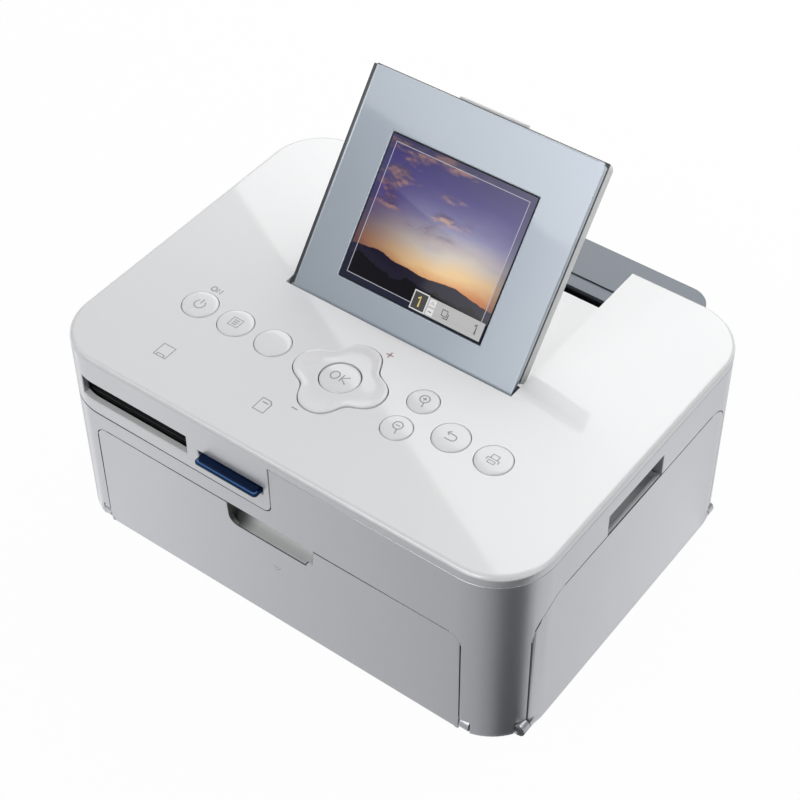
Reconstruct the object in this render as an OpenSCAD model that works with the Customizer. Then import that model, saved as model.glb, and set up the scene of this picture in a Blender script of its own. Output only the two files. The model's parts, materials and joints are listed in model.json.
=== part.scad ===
// Compact dye-sublimation photo printer: casing, tilting display, two doors,
// keys, paper drive, ink cassette and print head, each as a separate piece.
// X runs to the right, Y to the rear and Z up from the table. Places are
// measured from the middle of the body; in_frame() then centres the whole part.

/* [Body] */
// Width of the body
body_w = 176.6; // [174:0.1:186]
// Depth of the body without the rear cover
body_d = 132.6; // [131:0.1:140]
// Height from the table to the top cover
body_h = 75.5; // [75:0.1:80]
// Radius of the upright corners
corner_r = 19.5; // [17:0.5:21]
// Wall of the casing
shell_wall = 2.2; // [1.8:0.1:2.6]
// Thickness of the bottom case
floor_t = 2; // [1.6:0.1:2.6]
// Gap between neighbouring casing pieces
seam = 0.25; // [0.2:0.05:0.4]

/* [Feet] */
// Height of the feet below the bottom case
foot_h = 1; // [0.8:0.1:2]
// Radius of a foot
foot_r = 5; // [4:0.5:7]
// Distance of a foot's centre from the body's sides
foot_inset = 17; // [14:1:24]

/* [Top cover] */
// Height of the cover's rim
rim_h = 4; // [3.5:0.1:5]
// Thickness of the cover's plate
cover_t = 2.2; // [1.8:0.1:2.6]
// Radius of the cover's upper edge
cover_edge = 1.8; // [1:0.1:2]
// Distance of the card apron's lower edge below the cover's top
apron_drop = 23.1; // [21.5:0.1:24.5]
// Distance of the apron's right edge from the body's left side
apron_w = 89.3; // [88:0.1:95]
// Radius of the apron's lower right corner
apron_r = 3; // [1:0.5:5]

/* [Display] */
// Width of the display panel
lcd_w = 84.4; // [80:0.1:88]
// Length of the display's face from hinge to finger tab
lcd_len = 74.3; // [70:0.1:75]
// Radius of the hinge nose, which is also the face's height above the axis
nose_r = 3.5; // [3.2:0.1:3.8]
// Thickness of the whole panel
lcd_t = 7.5; // [7:0.1:7.8]
// Tilt of the face above the horizontal
lcd_tilt = 52.1; // [20:0.1:58]
// Distance of the hinge axis behind the body's centre
hinge_y = 1.15; // [0.5:0.05:2]
// Radius of the hinge pins
hinge_pin_r = 1.6; // [1.2:0.1:2]
// Width of the screen
screen_w = 53.7; // [48:0.1:58]
// Height of the screen
screen_h = 47.6; // [42:0.1:50]
// Distance of the screen from the hinge end of the face
screen_from_hinge = 9.6; // [8.5:0.1:12]

/* [Keys] */
// Radius of the round keys
key_r = 5.9; // [5:0.1:6.2]
// Radius of the zoom keys
zoom_key_r = 5; // [4.4:0.1:5.4]
// Radius of the centre key
ok_key_r = 6.4; // [5.6:0.1:6.8]
// Reach of the direction pad's lobes
pad_reach = 16.1; // [15.5:0.1:16.5]
// Depth of the waists between the lobes
pad_waist = 4.2; // [3:0.1:4.6]
// Height of the keys above the cover
key_rise = 0.5; // [0.2:0.1:1]
// Travel of a key
key_travel = 0.5; // [0.3:0.05:0.6]
// Gap around a key
key_gap = 0.2; // [0.15:0.05:0.3]

/* [Card slots] */
// Width of the large card slot
cf_slot_w = 43.3; // [42:0.1:45]
// Height of the large card slot
cf_slot_h = 7.8; // [6:0.1:8]
// Width of the memory card
card_w = 24; // [24:0.1:24.5]
// Length of the memory card
card_len = 32; // [30:0.5:33]
// Thickness of the memory card
card_t = 2.1; // [1.8:0.1:2.4]
// How far the memory card stands out
card_out = 3; // [1:0.5:6]

/* [Doors] */
// Width of the paper door
paper_door_w = 140.6; // [136:0.2:141]
// Distance of the paper door's upper edge below the cover's top
paper_door_drop = 30; // [28.5:0.1:30.5]
// Width of the finger notch in the paper door
notch_w = 33; // [24:1:40]
// Depth of the finger notch
notch_h = 8.5; // [6:0.5:10]
// Distance of the ink door's front edge from the body's front
ink_door_front = 12.3; // [11:0.1:14]
// Distance of the ink door's rear edge from the body's back
ink_door_rear = 15.7; // [14:0.1:18]
// Distance of the ink door's upper edge below the cover's top
ink_door_drop = 18.5; // [17.5:0.1:19.5]
// Radius of the door hinges' knuckles
knuckle_r = 2.4; // [2.3:0.1:2.8]
// Radius of the door hinges' pins
door_pin_r = 1.2; // [1:0.1:1.4]

/* [Rear cover] */
// How far the rear cover stands out behind the body
rear_bulge = 12.6; // [10:0.1:14]
// Width of the rear cover
rear_w = 133; // [126:1:136]
// Radius of the rear cover's upright edges
rear_r = 8; // [5:0.5:9]
// Height of the rear cover's lower edge above the table
rear_z = 22; // [20:0.5:24]

/* [Paper drive] */
// Distance between the side plates
chassis_w = 124; // [122:0.5:124]
// Thickness of the side plates
plate_t = 1.6; // [1.2:0.1:2]
// Height of the paper path above the bottom case, in gear modules
path_rise = 27; // [26.8:0.1:27.4]
// Radius of the rollers' steel shafts
shaft_r = 2.5; // [2:0.1:2.6]
// Radius of the feed roller
feed_r = 9; // [7:0.5:9.2]
// Radius of the platen roller
platen_r = 6; // [5:0.1:6.2]
// Radius of the steel roller that pulls the paper
capstan_r = 3; // [2.8:0.1:3.2]
// Radius of the roller that presses on it
pinch_r = 3; // [2.5:0.1:3]
// Width of the largest sheet
sheet_w = 100; // [89:1:102]
// Width of a gear's teeth
gear_t = 4; // [3:0.1:4.4]

/* [Ink cassette] */
// Outer radius of the cassette's two spool tubes
tube_r = 9.5; // [9:0.1:9.5]
// Distance between the two spools
spool_pitch = 29; // [29:0.1:29.5]
// Radius of the full ribbon roll
roll_r = 7.6; // [5:0.1:7.6]
// Radius of the wound core
core_r = 4; // [3.5:0.1:4.2]

/* [Hidden] */
$fn = 96;

// Colours
cover_white = [0.93, 0.93, 0.93];
shell_grey = [0.72, 0.73, 0.76];
rear_grey = [0.50, 0.54, 0.60];
bezel_silver = [0.68, 0.72, 0.76];
dark_grey = [0.22, 0.23, 0.25];
steel = [0.62, 0.63, 0.65];
board_green = [0.10, 0.34, 0.22];
gear_white = [0.88, 0.87, 0.82];
rubber_black = [0.08, 0.08, 0.09];
card_blue = [0.07, 0.19, 0.48];

// Clearances
eps = 0.01;
run_gap = 0.05;        // radial clearance of a shaft in its bore
seat_gap = 0.2;        // gap between a piece and the seat that it rests in
fit_gap = 0.02;        // gap round a bush or a plug in its hole

// Body
half_w = body_w / 2;
half_d = body_d / 2;
part_z = body_h - rim_h;
floor_z = foot_h + floor_t;
inner_r = corner_r - shell_wall;
rear_reach = half_d + rear_bulge;
front_reach = half_d + card_out;
frame_y = (front_reach - rear_reach) / 2;
post_r = 3.2;
post_front = [half_w - 8.8, -half_d + 12.3];
post_rear = [half_w - 13.8, half_d - 6.9];
post_joint_z = body_h - 33.5; // where the lower and the upper screw posts meet
post_seat = 2;         // thickness that a screw's head clamps
screw_r = 1.3;
screw_head_r = 2.3;

// Display and its recess
recess_w = lcd_w + 2;
recess_floor_z = body_h - lcd_t - 1.2;
recess_floor_t = 1.5;
recess_wall = 1.8;
recess_front_y = hinge_y - nose_r - 0.65;
recess_rear_y = half_d - 12.7;
hinge_z = body_h - nose_r;
ear_t = 3.4;
barrel_r = nose_r - 0.6;
bezel_t = 2.2;
lcd_back = lcd_t - nose_r;
lcd_wall = 1.2;
lcd_corner_r = 2;
window_t = 1;
finger_tab_w = 24;
finger_tab_out = 1;

// Keys, placed from the body's centre
key_row_y = -27.3;
key_x = [-57.9, -43.4, -28.5, 38.7, 53.8];
zoom_x = 23.5;
zoom_y = [-20.2, -33.6];
pad_x = -2.4;
pad_side = 0.3;
pad_gap = 0.35;
pad_points = 72;
cover_under_z = body_h - cover_t;
key_flange_out = 1;
key_flange_t = 1.2;
board_t = 1.6;
switch_h = 0.5;
switch_r = 3;
key_board_z = cover_under_z - 5.1;
key_board_top = key_board_z + board_t;
key_board_low = [key_x[0] - 12, key_row_y - 18];
key_board_high = [key_x[4] + 12, key_row_y + 19];
key_post_x = [key_board_low[0] + 4, pad_x - 11.5, pad_x + 11.5, key_board_high[0] - 4];
key_post_y = [key_board_low[1] + 4, key_board_high[1] - 3];
key_post_r = 1.8;
stem_r = 2;

// Card slots, placed from the body's left side
apron_z = body_h - apron_drop;
cf_x = -half_w + 35.35;
cf_z = body_h - 14.1;
sd_x = -half_w + 74.3;
sd_z = body_h - 14.9;
sd_slot_w = card_w + 1;
sd_slot_h = card_t + 1;
main_board_top = body_h - 19.5;
connector_depth = 34;
connector_wall = 1.1;
connector_left = cf_x - cf_slot_w / 2 - connector_wall - 0.2;
connector_front = wall_inside_y(connector_left) + 0.3;

// Doors
paper_door_top = body_h - paper_door_drop;
ink_door_top = body_h - ink_door_drop;
knuckle_z = foot_h + 0.1 + knuckle_r;
paper_hinge_y = -half_d + knuckle_r;
ink_hinge_x = half_w - knuckle_r;
ink_y0 = -half_d + ink_door_front;
ink_y1 = half_d - ink_door_rear;
knuckle_w = 3.2;
door_r = 4;
ink_front_r = 14;
ink_rear_r = 9;
grip_y = -3;
grip_w = 30;
grip_h = 8.5;
grip_depth = 5;
grip_wall = 1.2;
scoop_depth = 8;
scoop_t = 1.2;
scoop_bend = 2.2;
scoop_swing_gap = 1;
ledge_drop = 4.5;
ledge_bend = 1.3;
ledge_swing_gap = 0.4;

// Rear cover
rear_wall = 2;
rear_top_z = recess_floor_z + 0.7;
shelf_front_y = recess_rear_y + 3.4;
exit_h = 7;
vent_w = 2.4;
floor_vent_len = 22;
floor_vent_pitch = 7;
vent_pitch = 5;
vent_count = 9;

// Gear train: every gear has the same tooth size, which the room under the display sets
modules_high = 62.3;
tooth_module = (recess_floor_z - recess_floor_t - floor_z) / modules_high;
pressure_angle = 20;
addendum = 0.8 * tooth_module;
dedendum = 1.15 * tooth_module;
tooth_play = 0.12;
capstan_teeth = 34;
feed_teeth = 28;
motor_idler_teeth = 20;
pinion_teeth = 14;
ribbon_idler_teeth = 14;
take_up_teeth = 16;
feed_dir = 155;
idler_dir = -22;
pinion_dir = -5;
path_z = floor_z + path_rise * tooth_module;
drive_from_rear = 60.3;
capstan_at = [half_d - drive_from_rear, path_z - capstan_r - 0.2];
platen_at = [capstan_at[0] + 19.5, path_z - platen_r - 0.6];
pinch_at = [capstan_at[0], path_z + pinch_r + 0.4];
pinch_shaft_r = 1.5;
bush_t = 0.9;
feed_at = step_from(capstan_at, capstan_teeth + feed_teeth, feed_dir);
motor_idler_at = step_from(capstan_at, capstan_teeth + motor_idler_teeth, idler_dir);
pinion_at = step_from(motor_idler_at, motor_idler_teeth + pinion_teeth, pinion_dir);
take_up_at = [capstan_at[0] + 5, path_z + 8 + tube_r];
supply_at = take_up_at + [spool_pitch, 0];
ribbon_reach = [centre_gap(feed_teeth + ribbon_idler_teeth),
    centre_gap(ribbon_idler_teeth + take_up_teeth)];
ribbon_idler_at = apex(feed_at, take_up_at, ribbon_reach[0], ribbon_reach[1]);
capstan_phase = 0;
gear_x = chassis_w / 2 + plate_t + 3;
gear_step = gear_t + 1;
stud_r = 1.5;
shaft_end = 0.6;
gear_seat_r = shaft_r - 1;
feed_phase = mesh_phase(capstan_phase, capstan_teeth, feed_teeth, feed_dir);
motor_idler_phase = mesh_phase(capstan_phase, capstan_teeth, motor_idler_teeth, idler_dir);
pinion_phase = mesh_phase(motor_idler_phase, motor_idler_teeth, pinion_teeth, pinion_dir);
ribbon_dir = direction(feed_at, ribbon_idler_at);
ribbon_idler_phase = mesh_phase(feed_phase, feed_teeth, ribbon_idler_teeth, ribbon_dir);
take_up_dir = direction(ribbon_idler_at, take_up_at);
take_up_phase = mesh_phase(ribbon_idler_phase, ribbon_idler_teeth, take_up_teeth, take_up_dir);

// Motor
motor_r = 10;
motor_len = 30;
motor_shaft_r = 1;
motor_bore_len = 5;
motor_boss_r = 3;

// Rubber rings of the feed roller
feed_ring_w = 20;
feed_ring_x = [-34, 14];

// How far the other rollers reach beyond the sheet on each side
capstan_over = 3;
platen_over = 4;

// Ink cassette and head
tube_wall = 0.9;
cassette_end_t = 2.8;
cassette_low_z = take_up_at[1] - tube_r - 2;
cassette_len = chassis_w - 2 * seat_gap;
spool_len = cassette_len - 2 * cassette_end_t - 1;
journal_r = 2.2;
ribbon_t = 0.3;
ribbon_z = path_z - 0.1;
head_gap = 1;
head_w = spool_pitch - 2 * tube_r - 2 * head_gap;
head_at_y = platen_at[0];
head_low_z = path_z + 1.5;
head_bar_h = 1.6;
head_arm_z = take_up_at[1] + tube_r + 1.6;
head_arm_t = 1.6;
head_pivot_at = [supply_at[0] + tube_r + 3, take_up_at[1] + tube_r - 1];
head_pivot_r = 2;
head_len = sheet_w + 6;

// Chassis: two side plates, with a higher rear part behind the card connectors
plate_x = chassis_w / 2;
plate_front = -half_d + 8.3;
plate_rear = half_d - 10.8;
plate_low_top = main_board_top - board_t;
plate_top = head_pivot_at[1] + head_pivot_r + 2;
plate_step_y = connector_front + connector_depth + 0.7;
board_rear = feed_at[0] - 6.5;
guide_front = capstan_at[0] - 6;
guide_rear = half_d - shell_wall - 0.5;
guide_cheek_t = 1.2;

// Lower board and its sockets, on the back wall
power_board_z = floor_z + 3;
power_board_d = 32.3 - shell_wall - 0.3;
power_board_at = [-18, half_d - 32.3];
power_board_size = [76, power_board_d];
board_screw_x = [power_board_at[0] + 4, power_board_at[0] + power_board_size[0] - 4];
board_screw_y = [power_board_at[1] + 6, power_board_at[1] + 22];
board_post_r = 2.6;
dc_x = 45;
dc_z = power_board_z + board_t + 5.2;
dc_r = 5;
dc_bore_r = 2.75;
dc_pin_r = 0.8;
usb_x = 18;
usb_w = 14;
usb_h = 7;
usb_tongue_w = 11;
usb_z = power_board_z + board_t;
socket_depth = 12;

// ---------------------------------------------------------------- functions

// Depth at which the front wall's inside lies, at a place x near the left corner
function wall_inside_y(x) =
    -half_d + corner_r - sqrt(pow(inner_r, 2) - pow(max(0, corner_r - half_w - x), 2));
function centre_gap(tooth_sum) = tooth_module * tooth_sum / 2;
function step_from(at, tooth_sum, dir) = at + centre_gap(tooth_sum) * [cos(dir), sin(dir)];
function direction(a, b) = atan2(b[1] - a[1], b[0] - a[0]);
function apex(a, b, ra, rb) =
    let (d = norm(b - a), s = (ra * ra - rb * rb + d * d) / (2 * d),
        h = sqrt(ra * ra - s * s), u = (b - a) / d)
    a + s * u + h * [-u[1], u[0]];
// Angle that turns the driven gear so that its gap meets the driver's tooth
function mesh_phase(phase, teeth, driven, dir) =
    dir + 180 + 180 / driven - (phase - dir) * teeth / driven;
function inv(a) = tan(a) * 180 / PI - a;
function flank_half(teeth, r) =
    let (base = tooth_module * teeth / 2 * cos(pressure_angle))
    90 / teeth * (1 - tooth_play) + inv(pressure_angle) - inv(acos(min(1, base / r)));
function polar(r, a) = [r * cos(a), r * sin(a)];
function tooth(teeth, turn) =
    let (pitch_r = tooth_module * teeth / 2, root_r = pitch_r - dedendum,
        low_r = max(root_r + 0.05, pitch_r * cos(pressure_angle)),
        tip_r = pitch_r + addendum,
        low = flank_half(teeth, low_r), mid = flank_half(teeth, pitch_r),
        tip = flank_half(teeth, tip_r))
    [polar(root_r, turn - low), polar(low_r, turn - low), polar(pitch_r, turn - mid),
        polar(tip_r, turn - tip), polar(tip_r, turn + tip), polar(pitch_r, turn + mid),
        polar(low_r, turn + low), polar(root_r, turn + low)];
// Outline of the direction pad: four lobes with soft waists between them
function pad_radius(a) =
    pad_reach + pad_side - pad_waist / 2 * (1 - cos(4 * a)) - pad_side * cos(8 * a);
function pad_outline(out) =
    [for (i = [0:pad_points - 1]) let (a = i * 360 / pad_points) polar(pad_radius(a) + out, a)];

// ------------------------------------------------------------ shared shapes

module in_frame() {
    translate([0, frame_y, 0]) children();
}

// Rounded rectangle about the origin
module plan(w, d, r) {
    square([w - 2 * r, d], center = true);
    square([w, d - 2 * r], center = true);
    for (sx = [-1, 1], sy = [-1, 1])
        translate([sx * (w / 2 - r), sy * (d / 2 - r)]) circle(r);
}

module body_plan(inset) {
    plan(body_w - 2 * inset, body_d - 2 * inset, corner_r - inset);
}

module wall_ring(z0, z1) {
    translate([0, 0, z0]) linear_extrude(z1 - z0) difference() {
        body_plan(0);
        body_plan(shell_wall);
    }
}

// Runs a [y, z] outline from x0 to x1
module along_x(x0, x1) {
    translate([x0, 0, 0]) rotate([90, 0, 90]) linear_extrude(x1 - x0) children();
}

// Runs an [x, z] outline from y0 to y1
module along_y(y0, y1) {
    translate([0, y1, 0]) rotate([90, 0, 0]) linear_extrude(y1 - y0) children();
}

module rod_x(at, r, x0, x1) {
    along_x(x0, x1) translate(at) circle(r);
}

module box(low, high) {
    translate(low) cube(high - low);
}

// Door outline from [0, 0], square below and with two rounded upper corners
module arch(w, h, r_left, r_right) {
    square([r_left, h - r_left]);
    translate([w - r_right, 0]) square([r_right, h - r_right]);
    translate([r_left, 0]) square([w - r_left - r_right, h]);
    translate([r_left, h - r_left]) circle(r_left);
    translate([w - r_right, h - r_right]) circle(r_right);
}

// Upright quarter-round edge in [radius, height]
module edge_profile(r, h, e) {
    square([r - e, h]);
    square([r, h - e]);
    translate([r - e, h - e]) circle(e);
}

// Rounded slab whose upper edge is rounded too
module soft_slab(w, d, r, h, e) {
    dx = w / 2 - r;
    dy = d / 2 - r;
    translate([-dx, -dy, 0]) cube([2 * dx, 2 * dy, h]);
    for (s = [0, 1]) mirror([s, 0, 0]) {
        translate([dx, dy, 0]) rotate([90, 0, 0]) linear_extrude(2 * dy)
            edge_profile(r, h, e);
        for (t = [0, 1]) mirror([0, t, 0]) translate([dx, dy, 0])
            rotate_extrude() difference() {
                edge_profile(r, h, e);
                translate([-r, -r]) square([r, 3 * r]);
            }
    }
    for (t = [0, 1]) mirror([0, t, 0]) translate([-dx, dy, 0]) rotate([90, 0, 90])
        linear_extrude(2 * dx) edge_profile(r, h, e);
}

module gear_profile(teeth, phase) {
    rotate(phase) polygon([for (i = [0:teeth - 1]) each tooth(teeth, i * 360 / teeth)]);
}

// A gear on the left of the chassis; level 0 lies next to the plate
module gear(at, teeth, phase, level, levels, bore_r) {
    x1 = -(gear_x + level * gear_step);
    x0 = x1 - gear_t - (levels - 1) * gear_step;
    along_x(x0, x1) translate(at) difference() {
        gear_profile(teeth, phase);
        circle(bore_r);
    }
}

module screw(len) {
    cylinder(r = screw_r, h = len);
    translate([0, 0, -1.4]) cylinder(r = screw_head_r, h = 1.4);
}

module at_posts() {
    for (sx = [-1, 1], at = [post_front, post_rear]) translate([sx * at[0], at[1], 0]) children();
}

module at_board_screws() {
    for (x = board_screw_x, y = board_screw_y) translate([x, y, 0]) children();
}

module at_feet() {
    for (sx = [-1, 1], sy = [-1, 1])
        translate([sx * (half_w - foot_inset), sy * (half_d - foot_inset), 0]) children();
}

// ------------------------------------------------------------------- casing

module ink_door_outline(grow) {
    translate([ink_y0 - grow, foot_h - 1]) arch(ink_y1 - ink_y0 + 2 * grow,
        ink_door_top + grow - foot_h + 1, ink_front_r + grow, ink_rear_r + grow);
}

module paper_door_outline(grow) {
    translate([-paper_door_w / 2 - grow, foot_h - 1]) arch(paper_door_w + 2 * grow,
        paper_door_top + grow - foot_h + 1, door_r + grow, door_r + grow);
}

// Region of the front and left walls that the card apron takes
module apron_region(grow) {
    right = -half_w + apron_w + grow;
    low = apron_z - grow;
    along_y(-half_d - 1, -half_d + corner_r + grow) difference() {
        translate([-half_w - 1, low]) square([right + half_w + 1, body_h - low]);
        translate([right - apron_r, low - 1]) difference() {
            square([apron_r + 1, apron_r + 1]);
            translate([0, apron_r + 1]) circle(apron_r);
        }
    }
}

module door_knuckle_holes() {
    notch = knuckle_z + knuckle_r + seam;
    side = knuckle_w + 2 * seam;
    for (sx = [-1, 1]) translate([sx * (paper_door_w / 2 + side / 2), -half_d, 0])
        translate([-side / 2, -1, 0]) cube([side, 2 * knuckle_r + 1.5, notch]);
    for (y = [ink_y0 - side, ink_y1])
        translate([half_w - 2 * knuckle_r - 1.5, y, 0]) cube([2 * knuckle_r + 3, side, notch]);
}

module bottom_case() {
    color(shell_grey) in_frame() difference() {
        union() {
            translate([0, 0, foot_h]) linear_extrude(floor_t) difference() {
                body_plan(shell_wall + fit_gap);
                square_cutouts();
            }
            at_posts() translate([0, 0, foot_h]) cylinder(r = post_r, h = post_joint_z - foot_h);
            bottom_knuckles();
            at_board_screws() translate([0, 0, foot_h])
                cylinder(r = board_post_r, h = power_board_z - foot_h);
            chassis_rails();
        }
        at_posts() {
            translate([0, 0, -1]) cylinder(r = screw_head_r + 0.2, h = post_joint_z - post_seat + 1);
            cylinder(r = screw_r + 0.2, h = body_h);
        }
        at_feet() translate([0, 0, foot_h - eps]) cylinder(r = foot_r + fit_gap, h = 0.8 + eps);
        at_board_screws() translate([0, 0, floor_z - 1])
            cylinder(r = screw_r + fit_gap, h = power_board_z);
        for (i = [-4:4]) translate([i * floor_vent_pitch, platen_at[0] - 3.5, 0])
            linear_extrude(floor_z + 1) slot2d(vent_w, floor_vent_len);
    }
}

// Low rails on the bottom case that the side plates stand against
module chassis_rails() {
    x = plate_x + plate_t + 0.4;
    for (s = [0, 1]) mirror([s, 0, 0])
        box([x, plate_front + 6, floor_z - eps], [x + 2.4, plate_rear - 6, floor_z + 4]);
}

// Clear ground for the two doors' hinge barrels as they swing
module square_cutouts() {
    reach = 2 * knuckle_r + seam;
    translate([-paper_door_w / 2 - knuckle_w - seam, -half_d])
        square([paper_door_w + 2 * (knuckle_w + seam), reach]);
    translate([half_w - reach, ink_y0 - knuckle_w - seam])
        square([reach, ink_y1 - ink_y0 + 2 * (knuckle_w + seam)]);
}

module slot2d(w, l) {
    square([w, l - w], center = true);
    for (s = [-1, 1]) translate([0, s * (l - w) / 2]) circle(w / 2);
}

// Knuckles of the case that carry both doors' pins
module bottom_knuckles() {
    pin_hole = door_pin_r + run_gap;
    reach = 2 * knuckle_r + seam;
    for (sx = [-1, 1]) {
        x0 = sx > 0 ? paper_door_w / 2 + seam : -paper_door_w / 2 - seam - knuckle_w;
        along_x(x0, x0 + knuckle_w) difference() {
            union() {
                translate([paper_hinge_y, knuckle_z]) circle(knuckle_r);
                translate([paper_hinge_y, foot_h]) square([knuckle_r + 2, floor_t]);
                translate([paper_hinge_y, foot_h + floor_t - eps])
                    square([knuckle_r, knuckle_z - foot_h - floor_t + knuckle_r / 2]);
            }
            translate([paper_hinge_y, knuckle_z]) circle(pin_hole);
        }
    }
    for (y0 = [ink_y0 - seam - knuckle_w, ink_y1 + seam])
        along_y(y0, y0 + knuckle_w) difference() {
            union() {
                translate([ink_hinge_x, knuckle_z]) circle(knuckle_r);
                translate([ink_hinge_x - reach, foot_h]) square([reach, floor_t]);
                translate([ink_hinge_x - knuckle_r, foot_h + floor_t - eps])
                    square([knuckle_r, knuckle_z - foot_h - floor_t + knuckle_r / 2]);
            }
            translate([ink_hinge_x, knuckle_z]) circle(pin_hole);
        }
}

module rubber_feet() {
    color(rubber_black) in_frame() at_feet() cylinder(r = foot_r, h = foot_h + 0.8 - fit_gap);
}

module case_screws() {
    color(steel) in_frame() at_posts() translate([0, 0, post_joint_z - post_seat]) screw(10);
}

module body_shell() {
    color(shell_grey) in_frame() {
        difference() {
            wall_ring(foot_h, part_z);
            along_y(-half_d - 1, -half_d + corner_r) paper_door_outline(seam);
            along_x(half_w - corner_r, half_w + 1) ink_door_outline(seam);
            apron_region(seam);
            door_knuckle_holes();
            grip_opening();
            back_openings();
        }
        grip_pocket();
    }
}

// Finger recess above the ink door
module grip_opening() {
    along_x(half_w - shell_wall - 1, half_w + 1) grip_profile(0, 1);
}

// Outline of the recess, grown to the sides and upwards, and reaching down by drop
module grip_profile(grow, drop) {
    translate([grip_y - grip_w / 2 - grow, ink_door_top + seam - drop])
        square([grip_w + 2 * grow, grip_h + grow + drop]);
}

module grip_pocket() {
    inner = half_w - shell_wall;
    difference() {
        along_x(inner - grip_depth - grip_wall, inner + eps) grip_profile(grip_wall, 0);
        along_x(inner - grip_depth, inner + 1) grip_profile(0, 1);
    }
}

module back_openings() {
    window_w = rear_w - 16;
    box([-window_w / 2, half_d - corner_r, rear_z + 4], [window_w / 2, half_d + 1, recess_floor_z - 6]);
    box([-recess_w / 2 - recess_wall - seam, half_d - corner_r, recess_floor_z - 7],
        [recess_w / 2 + recess_wall + seam, half_d + 1, body_h]);
    along_y(half_d - corner_r, half_d + 1) {
        translate([dc_x, dc_z]) circle(dc_r + seam);
        translate([usb_x - usb_w / 2 - seam, usb_z - seam]) square([usb_w + 2 * seam, usb_h + 2 * seam]);
    }
}

module rear_cover_plan(inset) {
    w = rear_w - 2 * inset;
    r = rear_r - inset;
    low = half_d;
    high = rear_reach - inset;
    translate([-w / 2, low]) square([w, high - low - r]);
    translate([-w / 2 + r, low]) square([w - 2 * r, high - low]);
    intersection() {
        for (s = [-1, 1]) translate([s * (w / 2 - r), high - r]) circle(r);
        translate([-half_w, low]) square([body_w, rear_reach]);
    }
}

module rear_cover() {
    shelf_w = recess_w - 2 * seam;
    color(rear_grey) in_frame() difference() {
        union() {
            translate([0, 0, rear_z]) linear_extrude(rear_top_z - rear_z) rear_cover_plan(0);
            box([-shelf_w / 2, shelf_front_y, rear_top_z - rear_wall],
                [shelf_w / 2, half_d + eps, rear_top_z]);
        }
        translate([0, 0, rear_z + rear_wall])
            linear_extrude(rear_top_z - rear_z - 2 * rear_wall) difference() {
                rear_cover_plan(rear_wall);
                translate([-half_w, half_d - 1]) square([body_w, 1 + seam]);
            }
        along_y(half_d - 1, half_d + rear_wall)
            translate([-rear_w / 2 + 10, rear_z + rear_wall])
            square([rear_w - 20, recess_floor_z - 8 - rear_z - rear_wall]);
        // Sheets come out here and go back in while a picture is printed
        along_y(half_d, rear_reach + 1) translate([-sheet_w / 2 - 4, path_z - exit_h / 2 + 1])
            square([sheet_w + 8, exit_h]);
        for (i = [0:vent_count - 1])
            along_y(half_d + rear_wall + 1, rear_reach + 1)
            translate([(i - (vent_count - 1) / 2) * vent_pitch * 2, rear_top_z - 15])
            square([vent_w * 2.2, 7]);
        // Step that the display's back drops over
        box([-shelf_w / 2 - 1, shelf_front_y - 1, rear_top_z - 0.5],
            [shelf_w / 2 + 1, shelf_front_y + 5.2, rear_top_z + 1]);
    }
}

module top_cover() {
    color(cover_white) in_frame() difference() {
        union() {
            difference() {
                translate([0, 0, part_z]) soft_slab(body_w, body_d, corner_r, rim_h, cover_edge);
                translate([0, 0, part_z - 1]) linear_extrude(rim_h - cover_t + 1) body_plan(shell_wall);
            }
            intersection() {
                wall_ring(apron_z, part_z + 1);
                apron_region(0);
            }
            recess_tub();
            at_posts() translate([0, 0, post_joint_z])
                cylinder(r = post_r, h = cover_under_z - post_joint_z + eps);
            key_board_posts();
        }
        recess_space();
        translate([0, 0, cover_under_z - 1]) key_holes();
        card_slot_holes();
        at_posts() translate([0, 0, post_joint_z - 1]) cylinder(r = screw_r + fit_gap, h = 12);
        rod_x([hinge_y, hinge_z], hinge_pin_r + run_gap, -recess_w / 2 - ear_t + 0.8,
            recess_w / 2 + ear_t - 0.8);
    }
}

// Solid from which the display's recess is cut
module recess_tub() {
    out = recess_w / 2 + recess_wall;
    low = recess_floor_z - recess_floor_t;
    box([-out, recess_front_y - recess_wall, low], [out, recess_rear_y, body_h - cover_edge]);
    for (s = [-1, 1]) {
        x = s > 0 ? out - recess_wall : -out;
        box([x, recess_rear_y - 1, low], [x + recess_wall, half_d - shell_wall + eps, body_h - cover_edge]);
        ear_x = s > 0 ? recess_w / 2 : -recess_w / 2 - ear_t;
        box([ear_x, recess_front_y - recess_wall, low], [ear_x + ear_t, hinge_y + 5, body_h - cover_edge]);
    }
}

module recess_space() {
    box([-recess_w / 2, recess_front_y, recess_floor_z], [recess_w / 2, rear_reach, body_h + 1]);
    box([-recess_w / 2, recess_rear_y, recess_floor_z - recess_floor_t - 1],
        [recess_w / 2, rear_reach, body_h + 1]);
}

module at_round_keys() {
    for (x = key_x) translate([x, key_row_y]) children();
}

module key_holes() {
    linear_extrude(cover_t + 2) {
        at_round_keys() circle(key_r + key_gap);
        for (y = zoom_y) translate([zoom_x, y]) circle(zoom_key_r + key_gap);
        translate([pad_x, key_row_y]) polygon(pad_outline(pad_gap));
    }
}

module card_slot_holes() {
    along_y(-half_d - 1, -half_d + shell_wall + 1) {
        translate([cf_x - cf_slot_w / 2, cf_z - cf_slot_h / 2]) square([cf_slot_w, cf_slot_h]);
        translate([sd_x - sd_slot_w / 2, sd_z - sd_slot_h / 2]) square([sd_slot_w, sd_slot_h]);
    }
}

module key_board_posts() {
    for (x = key_post_x, y = key_post_y) translate([x, y, key_board_top])
        cylinder(r = key_post_r, h = cover_under_z - key_board_top + eps);
}

// -------------------------------------------------------------------- doors

module door_pin(length) {
    cylinder(r = door_pin_r, h = length);
}

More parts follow.
